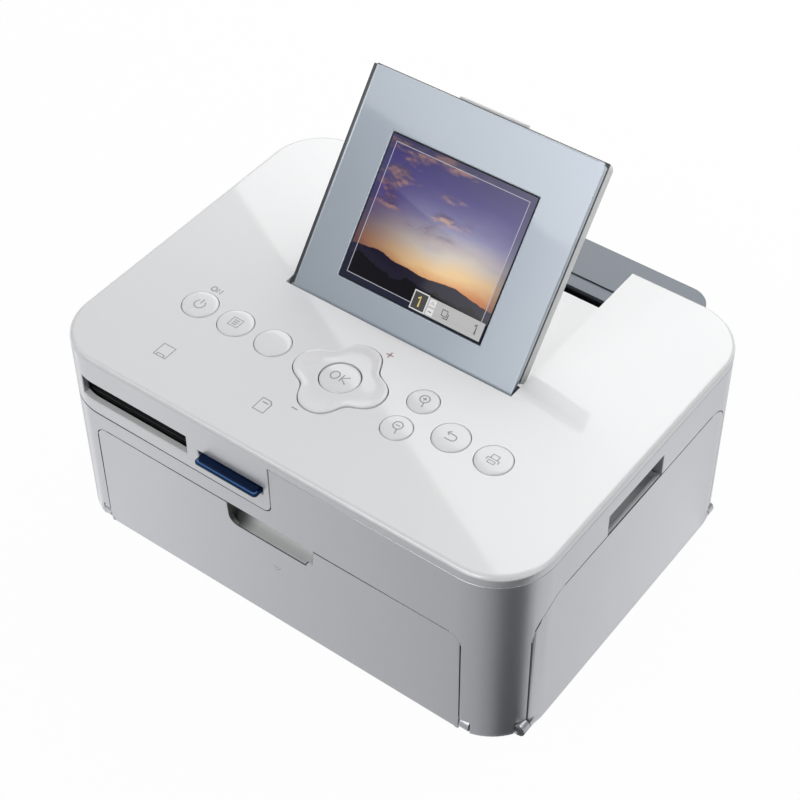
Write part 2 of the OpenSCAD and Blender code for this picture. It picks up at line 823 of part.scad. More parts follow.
module front_door() {
    pin = knuckle_w + seam - 0.4;
    color(shell_grey) in_frame() {
        difference() {
            union() {
                intersection() {
                    wall_ring(foot_h + 0.3, paper_door_top);
                    along_y(-half_d - 1, -half_d + corner_r) paper_door_outline(0);
                }
                scoop(scoop_t, -scoop_swing_gap);
                rod_x([paper_hinge_y, knuckle_z], knuckle_r, -paper_door_w / 2, paper_door_w / 2);
            }
            scoop(0, 1);
            along_y(-half_d - 1, -half_d + shell_wall + eps) notch_outline();
        }
        for (s = [-1, 1]) translate([s * (paper_door_w / 2 - eps), paper_hinge_y, knuckle_z])
            rotate([0, s * 90, 0]) door_pin(pin);
    }
}

// Rounded notch that opens upwards, centred on the door
module notch_outline() {
    r = 3.5;
    low = paper_door_top - notch_h;
    translate([-notch_w / 2, low + r]) square([notch_w, notch_h]);
    translate([-notch_w / 2 + r, low]) square([notch_w - 2 * r, notch_h]);
    for (s = [-1, 1]) translate([s * (notch_w / 2 - r), low + r]) circle(r);
}

// Hollow that slopes up behind a door's edge, in [depth, height] from the edge's inner side
module scoop_profile(depth, h, bend, grow, top) {
    reach = depth + grow;
    drop = h + grow;
    curve = [for (t = [0:0.125:1]) [reach * t, drop * (pow(t, bend) - 1)]];
    intersection() {
        polygon([[-0.5, 1], [-0.5, -drop], each curve, [reach, 1]]);
        translate([-1, -drop]) square([reach + 2, drop + top]);
    }
}

// Pocket behind the paper door's notch, as a solid that is grown by its wall
module scoop(grow, top) {
    along_x(-notch_w / 2 - grow, notch_w / 2 + grow)
        translate([-half_d + shell_wall, paper_door_top])
        scoop_profile(scoop_depth, notch_h, scoop_bend, grow, top);
}

module ink_door() {
    pin = knuckle_w + seam - 0.4;
    color(shell_grey) in_frame() {
        difference() {
            union() {
                intersection() {
                    wall_ring(foot_h + 0.3, ink_door_top);
                    along_x(half_w - corner_r, half_w + 1) ink_door_outline(0);
                }
                ledge(scoop_t, -ledge_swing_gap);
            }
            ledge(0, 1);
        }
        ink_door_barrel();
        for (s = [-1, 1]) translate([ink_hinge_x, s > 0 ? ink_y1 - eps : ink_y0 + eps, knuckle_z])
            rotate([-s * 90, 0, 0]) door_pin(pin);
        // Ribs that keep the wide door flat
        rib_x = half_w - shell_wall;
        for (y = [ink_y0 + 26, (ink_y0 + ink_y1) / 2, ink_y1 - 18])
            box([rib_x - 1.4, y, 14], [rib_x + eps, y + 1.4, ink_door_top - 14]);
    }
}

// Finger ledge behind the ink door's upper edge, as a solid that is grown by its wall
module ledge(grow, top) {
    along_y(grip_y - grip_w / 2 - grow, grip_y + grip_w / 2 + grow)
        translate([half_w - shell_wall, ink_door_top]) mirror([1, 0])
        scoop_profile(grip_depth, ledge_drop, ledge_bend, grow, top);
}

module ink_door_barrel() {
    along_y(ink_y0, ink_y1) translate([ink_hinge_x, knuckle_z]) circle(knuckle_r);
}

// ------------------------------------------------------------------ display

// Places a closed panel, drawn from the hinge axis, at its tilt
module at_tilt() {
    translate([0, hinge_y, hinge_z]) rotate([lcd_tilt, 0, 0]) children();
}

// Panel outline in [x, length], square at the hinge and rounded at the free end
module panel_plan(inset, start) {
    w = lcd_w - 2 * inset;
    translate([-w / 2, start]) arch(w, lcd_len - inset - start, lcd_corner_r, lcd_corner_r);
}

module screen_plan(grow) {
    translate([-screen_w / 2 - grow - 0.5, screen_from_hinge - grow])
        square([screen_w + 2 * grow, screen_h + 2 * grow]);
}

module lcd_bezel() {
    low = nose_r - bezel_t;
    color(bezel_silver) in_frame() at_tilt() {
        difference() {
            translate([0, 0, low]) linear_extrude(bezel_t) difference() {
                panel_plan(0, 0);
                screen_plan(seat_gap);
            }
            rod_x([0, 0], barrel_r + 0.1, -lcd_w, lcd_w);
        }
        along_x(-lcd_w / 2, lcd_w / 2) intersection() {
            difference() {
                circle(nose_r);
                circle(barrel_r + 0.1);
            }
            translate([-nose_r, -nose_r / 3]) square([nose_r + eps, 2 * nose_r]);
        }
    }
}

module lcd_window() {
    color(dark_grey) in_frame() at_tilt() translate([0, 0, nose_r - window_t - 0.1])
        linear_extrude(window_t) screen_plan(0);
}

module lcd_module() {
    thick = lcd_back - lcd_wall + nose_r - bezel_t - 0.4;
    color(steel) in_frame() at_tilt() {
        translate([0, 0, -lcd_back + lcd_wall + seat_gap]) linear_extrude(thick) screen_plan(3);
        translate([0, 0, nose_r - bezel_t - 0.4]) linear_extrude(bezel_t - window_t + 0.1) screen_plan(-1);
    }
}

module lcd_back_shell() {
    top = nose_r - bezel_t - 0.15;
    start = barrel_r + 0.6;
    color(cover_white) in_frame() at_tilt() {
        difference() {
            translate([0, 0, -lcd_back]) linear_extrude(lcd_back + top) panel_plan(0.2, start);
            translate([0, 0, -lcd_back + lcd_wall]) linear_extrude(lcd_t)
                panel_plan(0.2 + lcd_wall, start + lcd_wall);
            box([-lcd_w / 2 + 6, start - 1, -1.2], [lcd_w / 2 - 6, start + 2, lcd_t]);
        }
        box([-finger_tab_w / 2, lcd_len - 0.2 - eps, -lcd_back + 1],
            [finger_tab_w / 2, lcd_len + finger_tab_out - 0.2, top - 0.5]);
    }
}

module lcd_hinge_barrel() {
    side = recess_w / 2 - 0.3;
    color(dark_grey) in_frame() at_tilt() {
        rod_x([0, 0], barrel_r, -side, side);
        for (s = [-1, 1]) {
            x = s > 0 ? side - eps : -side - ear_t + 1.3;
            rod_x([0, 0], hinge_pin_r, x, x + ear_t - 1.3 + eps);
        }
        box([-lcd_w / 2 + 6.2, 0, -1], [lcd_w / 2 - 6.2, screen_from_hinge - 3.4, nose_r - bezel_t - 0.1]);
    }
}

// --------------------------------------------------------------------- keys

module round_key(x, y, r) {
    stem_z = key_board_top + switch_h + key_travel + 0.05;
    flange_z = cover_under_z - seat_gap - key_flange_t;
    color(cover_white) in_frame() translate([x, y, 0]) {
        translate([0, 0, flange_z + key_flange_t - eps])
            soft_disc(r, body_h + key_rise - flange_z - key_flange_t + eps, 0.5);
        translate([0, 0, flange_z]) cylinder(r = r + key_flange_out, h = key_flange_t);
        translate([0, 0, stem_z]) cylinder(r = stem_r, h = flange_z - stem_z + eps);
    }
}

module soft_disc(r, h, e) {
    rotate_extrude() difference() {
        edge_profile(r, h, e);
        translate([-r, -r]) square([r, 3 * r + h]);
    }
}

module power_key() { round_key(key_x[0], key_row_y, key_r); }
module menu_key() { round_key(key_x[1], key_row_y, key_r); }
module edit_key() { round_key(key_x[2], key_row_y, key_r); }
module back_key() { round_key(key_x[3], key_row_y, key_r); }
module print_key() { round_key(key_x[4], key_row_y, key_r); }
module zoom_in_key() { round_key(zoom_x, zoom_y[0], zoom_key_r); }
module zoom_out_key() { round_key(zoom_x, zoom_y[1], zoom_key_r); }

module ok_key() {
    stem_z = key_board_top + switch_h + key_travel + 0.05;
    low = cover_under_z - 1.4;
    color(cover_white) in_frame() translate([pad_x, key_row_y, 0]) {
        translate([0, 0, low]) soft_disc(ok_key_r, body_h + key_rise + 0.2 - low, 0.5);
        translate([0, 0, stem_z]) cylinder(r = stem_r, h = low - stem_z + eps);
    }
}

module direction_pad() {
    low = cover_under_z - 1.3;
    color(cover_white) in_frame() translate([pad_x, key_row_y, low])
        linear_extrude(body_h + key_rise - low) difference() {
            polygon(pad_outline(0));
            circle(ok_key_r + pad_gap);
        }
}

module pad_rubber() {
    low = key_board_top + 0.5;
    color(rubber_black) in_frame() translate([pad_x, key_row_y, low])
        linear_extrude(cover_under_z - 1.3 - pad_gap - low) difference() {
            circle(ok_key_r + 2.4);
            circle(ok_key_r + 0.8);
        }
}

module key_board() {
    color(board_green) in_frame()
        box([each key_board_low, key_board_z], [each key_board_high, key_board_top]);
}

module key_switches() {
    color(steel) in_frame() translate([0, 0, key_board_top]) linear_extrude(switch_h) {
        at_round_keys() circle(switch_r);
        for (y = zoom_y) translate([zoom_x, y]) circle(switch_r);
        translate([pad_x, key_row_y]) {
            circle(switch_r);
            for (a = [0:90:270]) translate(polar(pad_reach - 3.6, a)) circle(switch_r - 1);
        }
    }
}

// ----------------------------------------------------- boards and card slots

module main_board() {
    color(board_green) in_frame()
        box([connector_left, connector_front, main_board_top - board_t],
            [plate_x + plate_t, board_rear, main_board_top]);
}

// Open sleeve that a card slides into, down to its depth
module card_sleeve(x, z, w, h, depth) {
    out_w = w + 2 * connector_wall;
    y1 = connector_front + depth;
    difference() {
        box([x - out_w / 2, connector_front, main_board_top],
            [x + out_w / 2, y1, z + h / 2 + connector_wall]);
        box([x - w / 2, connector_front - 1, z - h / 2], [x + w / 2, y1 - 2, z + h / 2]);
    }
}

module cf_card_connector() {
    color(dark_grey) in_frame()
        card_sleeve(cf_x, cf_z, cf_slot_w + 0.2, cf_slot_h + 0.2, connector_depth);
}

module sd_card_connector() {
    color(steel) in_frame() card_sleeve(sd_x, sd_z, card_w + 0.5, card_t + 0.5, card_len - 2);
}

module memory_card() {
    cut = 3;
    color(card_blue) in_frame() translate([sd_x, -half_d - card_out, sd_z - card_t / 2])
        linear_extrude(card_t) polygon([[-card_w / 2, 0], [card_w / 2, 0],
            [card_w / 2, card_len - cut], [card_w / 2 - cut, card_len], [-card_w / 2, card_len]]);
}

module power_board() {
    color(board_green) in_frame() difference() {
        translate([each power_board_at, power_board_z]) cube([each power_board_size, board_t]);
        at_board_screws() cylinder(r = screw_r + 0.2, h = body_h);
    }
}

module dc_inlet() {
    y1 = half_d;
    color(dark_grey) in_frame() {
        difference() {
            union() {
                box([dc_x - dc_r, y1 - shell_wall - socket_depth, dc_z - dc_r],
                    [dc_x + dc_r, y1 - shell_wall - 0.1, dc_z + dc_r]);
                along_y(y1 - shell_wall - 0.2, y1) translate([dc_x, dc_z]) circle(dc_r);
            }
            along_y(y1 - 10, y1 + 1) translate([dc_x, dc_z]) circle(dc_bore_r);
        }
        along_y(y1 - 11, y1 - 1) translate([dc_x, dc_z]) circle(dc_pin_r);
    }
}

module usb_socket() {
    wall = 0.6;
    color(steel) in_frame() {
        difference() {
            box([usb_x - usb_w / 2, half_d - socket_depth - shell_wall, usb_z],
                [usb_x + usb_w / 2, half_d - 0.2, usb_z + usb_h]);
            box([usb_x - usb_w / 2 + wall, half_d - socket_depth + 1, usb_z + wall],
                [usb_x + usb_w / 2 - wall, half_d + 1, usb_z + usb_h - wall]);
        }
        box([usb_x - usb_tongue_w / 2, half_d - socket_depth, usb_z + usb_h / 2],
            [usb_x + usb_tongue_w / 2, half_d - 2, usb_z + usb_h / 2 + 1.8]);
    }
}

// ------------------------------------------------------------------ chassis

module side_plate_profile() {
    polygon([[plate_front, floor_z], [plate_rear, floor_z], [plate_rear, plate_top],
        [plate_step_y, plate_top], [plate_step_y, plate_low_top], [plate_front, plate_low_top]]);
}

module bush_holes() {
    for (at = [capstan_at, platen_at, feed_at]) translate(at) circle(shaft_r + bush_t + fit_gap);
    translate(pinch_at) circle(pinch_shaft_r + bush_t + fit_gap);
}

module left_side_plate() {
    x1 = -plate_x;
    color(steel) in_frame() {
        along_x(x1 - plate_t, x1) difference() {
            side_plate_profile();
            bush_holes();
            translate(take_up_at) circle(journal_r + run_gap);
            translate(pinion_at) circle(motor_shaft_r + 1);
            translate(head_pivot_at) circle(head_pivot_r + fit_gap);
        }
        // Studs on which the two idler gears turn
        rod_x(motor_idler_at, stud_r, -gear_x - gear_t, x1 - plate_t + eps);
        rod_x(ribbon_idler_at, stud_r, -gear_x - gear_step - gear_t, x1 - plate_t + eps);
    }
}

module right_side_plate() {
    color(steel) in_frame() along_x(plate_x, plate_x + plate_t) difference() {
        side_plate_profile();
        bush_holes();
        translate(head_pivot_at) circle(head_pivot_r + fit_gap);
        cassette_end_outline(seat_gap);
    }
}

module cassette_end_outline(grow) {
    y0 = take_up_at[0] - tube_r - grow;
    y1 = supply_at[0] + tube_r + grow;
    z1 = take_up_at[1] + tube_r + grow;
    translate([y0, cassette_low_z - grow]) square([y1 - y0, z1 - cassette_low_z + grow]);
}

// Rails along the paper bay, which the paper cassette slides on
module cassette_rails() {
    bay_w = chassis_w - 2 * seat_gap;
    color(shell_grey) in_frame() for (s = [0, 1]) mirror([s, 0, 0])
        along_y(plate_front + 2, guide_front - 1) translate([bay_w / 2, floor_z])
        polygon([[0, 0], [-2, 0], [-2, 1.6], [-8, 1.6], [-8, 3.2], [-2, 3.2], [-2, path_z - 7],
            [-4, path_z - 6], [-4, path_z - 4.6], [0, path_z - 4.6]]);
}

module paper_guide() {
    half = chassis_w / 2 - seat_gap;
    low = path_z - 2.6;
    top = path_z - 1.1;
    color(dark_grey) in_frame() {
        along_x(-half, half) {
            translate([guide_front, floor_z]) square([1.4, path_z - 8 - floor_z]);
            translate([capstan_at[0] + 4.5, low]) square([8, top - low]);
            translate([platen_at[0] + 7.5, low])
                square([guide_rear - platen_at[0] - 7.5, top - low]);
        }
        for (x = [-half, half - guide_cheek_t]) along_x(x, x + guide_cheek_t) difference() {
            translate([guide_front + 1, path_z - 12])
                square([guide_rear - guide_front - 1.6, top - path_z + 12]);
            for (at = [capstan_at, platen_at]) translate(at) circle(shaft_r + 1.2);
            translate([capstan_at[0] - shaft_r - 1.2, capstan_at[1]]) square([2 * shaft_r + 2.4, 8]);
            translate(pinion_at) circle(motor_r + 0.4);
        }
    }
}

module bush(at, r, x) {
    along_x(x, x + plate_t + 0.8) translate(at) difference() {
        circle(r + bush_t);
        circle(r + run_gap);
    }
}

module shaft_bushes() {
    color(gear_white) in_frame() for (x = [-plate_x - plate_t - 0.4, plate_x - 0.4]) {
        for (at = [capstan_at, platen_at, feed_at]) bush(at, shaft_r, x);
        bush(pinch_at, pinch_shaft_r, x);
    }
}

module board_screws() {
    color(steel) in_frame() at_board_screws() translate([0, 0, power_board_z + board_t])
        mirror([0, 0, 1]) screw(5);
}

// -------------------------------------------------------------- paper drive

module plain_shaft(at, r, left) {
    rod_x(at, r, -left, plate_x + plate_t + shaft_end);
}

// Shaft that carries a gear on its thinner left end
module geared_shaft(at, levels) {
    plain_shaft(at, shaft_r, gear_x - 0.2);
    rod_x(at, gear_seat_r, -gear_x - gear_t - (levels - 1) * gear_step, -gear_x + 1);
}

module feed_roller() {
    color(rubber_black) in_frame() {
        geared_shaft(feed_at, 2);
        for (x = feed_ring_x) rod_x(feed_at, feed_r, x, x + feed_ring_w);
    }
}

module feed_gear() {
    color(gear_white) in_frame()
        gear(feed_at, feed_teeth, feed_phase, 0, 2, gear_seat_r + fit_gap);
}

module capstan_roller() {
    half = sheet_w / 2 + capstan_over;
    color(steel) in_frame() {
        geared_shaft(capstan_at, 1);
        rod_x(capstan_at, capstan_r, -half, half);
    }
}

module capstan_gear() {
    color(gear_white) in_frame()
        gear(capstan_at, capstan_teeth, capstan_phase, 0, 1, gear_seat_r + fit_gap);
}

module pinch_roller() {
    half = sheet_w / 2;
    color(rubber_black) in_frame() {
        plain_shaft(pinch_at, pinch_shaft_r, plate_x + plate_t + shaft_end);
        rod_x(pinch_at, pinch_r, -half, half);
    }
}

module platen_roller() {
    half = sheet_w / 2 + platen_over;
    color(rubber_black) in_frame() {
        plain_shaft(platen_at, shaft_r, plate_x + plate_t + shaft_end);
        rod_x(platen_at, platen_r, -half, half);
    }
}

module drive_motor() {
    color(steel) in_frame() difference() {
        union() {
            rod_x(pinion_at, motor_r, -plate_x, -plate_x + motor_len);
            rod_x(pinion_at, motor_boss_r, -plate_x + motor_len - eps, -plate_x + motor_len + 1.6);
        }
        rod_x(pinion_at, motor_shaft_r + run_gap, -plate_x - 1, -plate_x + motor_bore_len);
    }
}

module motor_pinion() {
    color(steel) in_frame() {
        gear(pinion_at, pinion_teeth, pinion_phase, 0, 1, motor_shaft_r - 0.2);
        rod_x(pinion_at, motor_shaft_r, -gear_x - gear_t, -plate_x + 4.5);
    }
}

module motor_idler() {
    color(gear_white) in_frame()
        gear(motor_idler_at, motor_idler_teeth, motor_idler_phase, 0, 1, stud_r + run_gap);
}

module ribbon_idler() {
    color(gear_white) in_frame()
        gear(ribbon_idler_at, ribbon_idler_teeth, ribbon_idler_phase, 1, 1, stud_r + run_gap);
}

// ------------------------------------------------- ink cassette and its head

module take_up_gear() {
    color(gear_white) in_frame() {
        gear(take_up_at, take_up_teeth, take_up_phase, 1, 1, journal_r - 1);
        rod_x(take_up_at, journal_r, -gear_x - gear_step - gear_t, -cassette_len / 2 - 0.05);
    }
}

module spool(at, r) {
    journal = cassette_len / 2;
    rod_x(at, journal_r, -journal, journal);
    rod_x(at, r, -spool_len / 2 + 3, spool_len / 2 - 3);
    for (s = [-1, 1]) {
        x = s > 0 ? spool_len / 2 - 3.5 : -spool_len / 2 + 2.5;
        rod_x(at, roll_r, x, x + 1);
    }
}

module take_up_spool() {
    color(dark_grey) in_frame() spool(take_up_at, core_r + 0.8);
}

module supply_spool() {
    color(dark_grey) in_frame() spool(supply_at, roll_r - 0.6);
}

// Tube round a spool, open below where the film leaves it
module ribbon_tube() {
    difference() {
        circle(tube_r);
        circle(tube_r - tube_wall);
        translate([-2.5, -tube_r - 1]) square([5, 4]);
    }
}

module ink_cassette() {
    half = cassette_len / 2;
    color(dark_grey) in_frame() {
        difference() {
            union() {
                along_x(-half + eps, half - eps)
                    for (at = [take_up_at, supply_at]) translate(at) ribbon_tube();
                for (x = [-half, half - cassette_end_t]) along_x(x, x + cassette_end_t)
                    cassette_end_outline(0);
            }
            for (at = [take_up_at, supply_at]) rod_x(at, journal_r + run_gap, -half - 1, half + 1);
        }
        // Grip plate that passes through the right side plate
        along_x(half - eps, half + plate_t + 1.2) difference() {
            cassette_end_outline(-0.8);
            for (at = [take_up_at, supply_at]) translate(at) circle(journal_r + 2);
        }
    }
}

// Film between the two spools, under the head
module ink_ribbon() {
    half = sheet_w / 2;
    left = take_up_at[0] + 7;
    right = supply_at[0] - 7;
    rise_z = take_up_at[1] - tube_r - 0.3;
    color(rubber_black) in_frame() along_x(-half, half) polygon([
        [take_up_at[0], rise_z], [left, ribbon_z], [right, ribbon_z], [supply_at[0], rise_z],
        [supply_at[0] + ribbon_t, rise_z], [right + ribbon_t, ribbon_z - ribbon_t],
        [left - ribbon_t, ribbon_z - ribbon_t], [take_up_at[0] - ribbon_t, rise_z]]);
}

module thermal_head() {
    half = head_len / 2;
    fin_pitch = 2.6;
    fins = 5;
    color(steel) in_frame() {
        along_x(-half, half) {
            translate([head_at_y - head_w / 2, head_low_z + head_bar_h]) square([head_w, 4]);
            translate([head_at_y - 2.2, head_low_z]) square([4.4, head_bar_h + eps]);
            translate([head_at_y - 1.4, head_low_z + head_bar_h])
                square([2.8, head_arm_z - head_low_z - head_bar_h]);
            for (i = [0:fins - 1]) translate([head_at_y - head_w / 2, head_low_z + 8 + i * fin_pitch * 1.4])
                square([head_w, 1]);
        }
    }
}

module head_arm() {
    half = head_len / 2;
    color(steel) in_frame() {
        along_x(-half, half) translate([head_at_y - 5, head_arm_z])
            square([head_pivot_at[0] - head_at_y + 5, head_arm_t]);
        for (x = [-half, half - 6]) along_x(x, x + 6) difference() {
            union() {
                translate(head_pivot_at) circle(head_pivot_r + 1.6);
                translate([head_pivot_at[0] - head_pivot_r - 1.6, head_pivot_at[1]])
                    square([2 * head_pivot_r + 3.2, head_arm_z + head_arm_t - head_pivot_at[1]]);
            }
            translate(head_pivot_at) circle(head_pivot_r + run_gap);
        }
    }
}

module head_pivot_shaft() {
    color(steel) in_frame() rod_x(head_pivot_at, head_pivot_r, -plate_x - plate_t, plate_x + plate_t);
}

// ------------------------------------------------------------------- output

bottom_case();
body_shell();
top_cover();
rear_cover();
rubber_feet();
case_screws();
front_door();
ink_door();
lcd_bezel();
lcd_window();
lcd_module();
lcd_back_shell();
lcd_hinge_barrel();
power_key();
menu_key();
edit_key();
zoom_in_key();
zoom_out_key();
back_key();
print_key();
ok_key();
direction_pad();
pad_rubber();
key_board();
key_switches();
main_board();
cf_card_connector();
sd_card_connector();
memory_card();
power_board();
dc_inlet();
usb_socket();
left_side_plate();
right_side_plate();
cassette_rails();
paper_guide();
shaft_bushes();
feed_roller();
feed_gear();
capstan_roller();
capstan_gear();
pinch_roller();
platen_roller();
drive_motor();
motor_pinion();
motor_idler();
ribbon_idler();
take_up_gear();
take_up_spool();
supply_spool();
ink_cassette();
ink_ribbon();
thermal_head();
head_arm();
head_pivot_shaft();
board_screws();
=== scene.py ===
"""Dresses the compact photo printer: casing, keys, display, card, printed marks and studio."""
import json
import logging
import math
from dataclasses import dataclass, field
from enum import Enum
from typing import Callable, Iterable, Sequence

import bmesh
import bpy
from mathutils import Matrix, Vector

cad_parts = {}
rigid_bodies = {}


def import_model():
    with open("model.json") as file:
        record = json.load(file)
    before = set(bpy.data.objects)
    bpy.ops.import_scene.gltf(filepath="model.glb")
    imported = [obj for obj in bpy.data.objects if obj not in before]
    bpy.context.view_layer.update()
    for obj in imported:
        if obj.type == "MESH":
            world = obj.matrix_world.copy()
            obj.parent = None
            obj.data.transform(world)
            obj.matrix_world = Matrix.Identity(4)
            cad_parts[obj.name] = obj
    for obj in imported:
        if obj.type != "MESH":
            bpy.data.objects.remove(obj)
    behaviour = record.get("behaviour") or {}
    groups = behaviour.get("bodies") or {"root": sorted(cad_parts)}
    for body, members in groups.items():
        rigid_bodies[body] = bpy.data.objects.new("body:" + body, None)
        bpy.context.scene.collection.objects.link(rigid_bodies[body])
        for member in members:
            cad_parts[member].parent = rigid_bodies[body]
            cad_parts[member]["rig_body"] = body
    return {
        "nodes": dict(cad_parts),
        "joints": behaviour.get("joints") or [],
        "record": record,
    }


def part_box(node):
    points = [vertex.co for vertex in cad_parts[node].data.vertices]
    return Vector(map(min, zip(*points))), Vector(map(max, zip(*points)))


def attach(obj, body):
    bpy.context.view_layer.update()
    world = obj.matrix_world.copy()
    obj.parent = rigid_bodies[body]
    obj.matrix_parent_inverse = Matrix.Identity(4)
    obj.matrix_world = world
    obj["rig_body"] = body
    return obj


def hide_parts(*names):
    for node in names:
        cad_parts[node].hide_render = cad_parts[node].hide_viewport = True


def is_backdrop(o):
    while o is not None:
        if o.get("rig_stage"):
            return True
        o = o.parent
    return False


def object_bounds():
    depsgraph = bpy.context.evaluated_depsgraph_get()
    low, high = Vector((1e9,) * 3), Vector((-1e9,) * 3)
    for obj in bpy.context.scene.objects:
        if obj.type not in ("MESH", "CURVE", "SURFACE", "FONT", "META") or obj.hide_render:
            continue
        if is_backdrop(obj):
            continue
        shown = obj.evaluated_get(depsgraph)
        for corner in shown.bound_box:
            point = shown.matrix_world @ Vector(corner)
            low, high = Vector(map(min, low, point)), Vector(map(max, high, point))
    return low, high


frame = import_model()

log = logging.getLogger("photo_printer")

MM = 0.001
Socket = bpy.types.NodeSocket
Node = bpy.types.Node
Object = bpy.types.Object
Mesh = bmesh.types.BMesh
Vert = bmesh.types.BMVert
Edge = bmesh.types.BMEdge
Face = bmesh.types.BMFace
Colour = tuple[float, float, float]
Place = tuple[float, float, float]
Point = tuple[float, float]
PointTest = Callable[[Vector], bool]
FaceTest = Callable[[Face], bool]
CAD_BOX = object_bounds()


# ------------ shader trees


class Graph:
    """Adds nodes to one shader tree and wires them together."""

    MIX_FIRST, MIX_SECOND, MIX_RESULT = 6, 7, 2

    def __init__(self, tree: bpy.types.NodeTree) -> None:
        """Keeps the tree that every node is added to."""
        self.tree = tree

    def node(self, kind: str, **settings: object) -> Node:
        """Adds a node and sets its own properties.

        Args:
            kind: Name of the node type.
            settings: Properties of the node, by name.

        Returns:
            The new node.
        """
        made = self.tree.nodes.new(kind)
        for name, value in settings.items():
            setattr(made, name, value)
        return made

    def feed(self, socket: Socket, value: object) -> None:
        """Links a socket to another, or sets its value.

        Args:
            socket: The input that is fed.
            value: An output socket, a number, or a colour or vector.
        """
        if isinstance(value, Socket):
            self.tree.links.new(value, socket)
        else:
            socket.default_value = value

    def math(self, operation: str, *values: object, clamp: bool = False) -> Socket:
        """Adds a Math node.

        Args:
            operation: Name of the operation.
            values: Its inputs, as sockets or numbers.
            clamp: Keeps the result between 0 and 1.

        Returns:
            The result's socket.
        """
        made = self.node("ShaderNodeMath", operation=operation, use_clamp=clamp)
        for socket, value in zip(made.inputs, values):
            self.feed(socket, value)
        return made.outputs[0]

    def mix(self, factor: object, first: object, second: object) -> Socket:
        """Mixes two colours.

        Args:
            factor: Share of the second colour.
            first: The colour at factor 0.
            second: The colour at factor 1.

        Returns:
            The mixed colour's socket.
        """
        made = self.node("ShaderNodeMix", data_type="RGBA")
        self.feed(made.inputs[0], factor)
        self.feed(made.inputs[self.MIX_FIRST], rgba(first))
        self.feed(made.inputs[self.MIX_SECOND], rgba(second))
        return made.outputs[self.MIX_RESULT]

    def ramp(self, factor: Socket,
             stops: Sequence[tuple[float, Colour]]) -> Socket:
        """Looks a number up in a colour ramp.

        Args:
            factor: The number, from 0 to 1.
            stops: Places and colours of the ramp, in order.

        Returns:
            The colour's socket.
        """
        made = self.node("ShaderNodeValToRGB")
        elements = made.color_ramp.elements
        while len(elements) < len(stops):
            elements.new(1.0)
        for element, (place, colour) in zip(elements, stops):
            element.position = place
            element.color = rgba(colour)
        self.feed(made.inputs[0], factor)
        return made.outputs[0]

    def step(self, value: object, low: float, high: float) -> Socket:
        """Rises smoothly from 0 to 1.

        Args:
            value: The number that is looked at.
            low: Where the rise starts; above high, the result falls instead.
            high: Where it ends.

        Returns:
            The result's socket.
        """
        made = self.node("ShaderNodeMapRange", interpolation_type="SMOOTHSTEP")
        for name, given in (("Value", value), ("From Min", low), ("From Max", high)):
            self.feed(made.inputs[name], given)
        return made.outputs[0]

    def noise(self, vector: object, scale: object, detail: float = 2.0) -> Socket:
        """Adds a noise pattern.

        Args:
            vector: Where the pattern is read.
            scale: Its scale.
            detail: Its detail.

        Returns:
            The pattern's value.
        """
        made = self.node("ShaderNodeTexNoise")
        for name, given in (("Vector", vector), ("Scale", scale), ("Detail", detail)):
            self.feed(made.inputs[name], given)
        return made.outputs[0]

    def swing(self, pattern: Socket, amount: object) -> Socket:
        """Centres a pattern on 0 and scales it by an amount."""
        return self.math("MULTIPLY", self.math("SUBTRACT", pattern, 0.5), amount)

    def mapping(self, vector: Socket, **settings: Sequence[float]) -> Socket:
        """Moves, turns or scales a vector.

        Args:
            vector: The vector.
            settings: Inputs of the Mapping node, by name.

        Returns:
            The new vector.
        """
        made = self.node("ShaderNodeMapping")
        for name, given in (("Vector", vector), *settings.items()):
            self.feed(made.inputs[name], given)
        return made.outputs[0]

    def split(self, vector: Socket) -> Sequence[Socket]:
        """Splits a vector into its X, Y and Z.

        Args:
            vector: The vector.

        Returns:
            The three sockets.
        """
        made = self.node("ShaderNodeSeparateXYZ")
        self.feed(made.inputs[0], vector)
        return made.outputs

    def surface(self, shader: Socket) -> None:
        """Makes a shader the material's surface."""
        self.feed(self.node("ShaderNodeOutputMaterial").inputs["Surface"], shader)

    def effect(self, effect: "Effect", **values: object) -> Socket:
        """Places a shared node group with its own values.

        Args:
            effect: The group.
            values: Its inputs, by name.

        Returns:
            The group's one output.
        """
        made = self.node("ShaderNodeGroup", node_tree=effect_tree(effect))
        for name, value in values.items():
            self.feed(made.inputs[name], rgba(value) if name == "Color" else value)
        return made.outputs[0]


def rgba(value: object) -> object:
    """Adds full alpha to a colour.

    Args:
        value: A colour, or a socket or a colour with alpha, which stay as they are.

    Returns:
        The colour or the socket.
    """
    if isinstance(value, Socket) or len(value) == 4:
        return value
    return (*value, 1.0)


def new_material(name: str) -> tuple[bpy.types.Material, Graph]:
    """Makes an empty material.

    Args:
        name: The material's name.

    Returns:
        The material and the graph of its tree.
    """
    made = bpy.data.materials.new(name)
    made.use_nodes = True
    made.node_tree.nodes.clear()
    return made, Graph(made.node_tree)


class Effect(Enum):
    """Surface effects that several finishes share, each one a node group."""

    GRAIN = "surface_grain"
    TONE = "colour_tone"
    HANDLING = "handled_roughness"
    BRUSHING = "brushed_lines"


# An effect's own inputs besides the vector and the scale, its output, and its noise's detail.
EFFECT_PARTS: dict[Effect, tuple[dict[str, str], str, float]] = {
    Effect.GRAIN: ({}, "Height", 4.0),
    Effect.TONE: ({"Color": "Color", "Amount": "Float"}, "Color", 3.0),
    Effect.HANDLING: ({"Roughness": "Float", "Spread": "Float"}, "Roughness", 5.0),
    Effect.BRUSHING: ({}, "Height", 3.0),
}
LINE_STRETCH = (0.02, 1.0, 1.0)


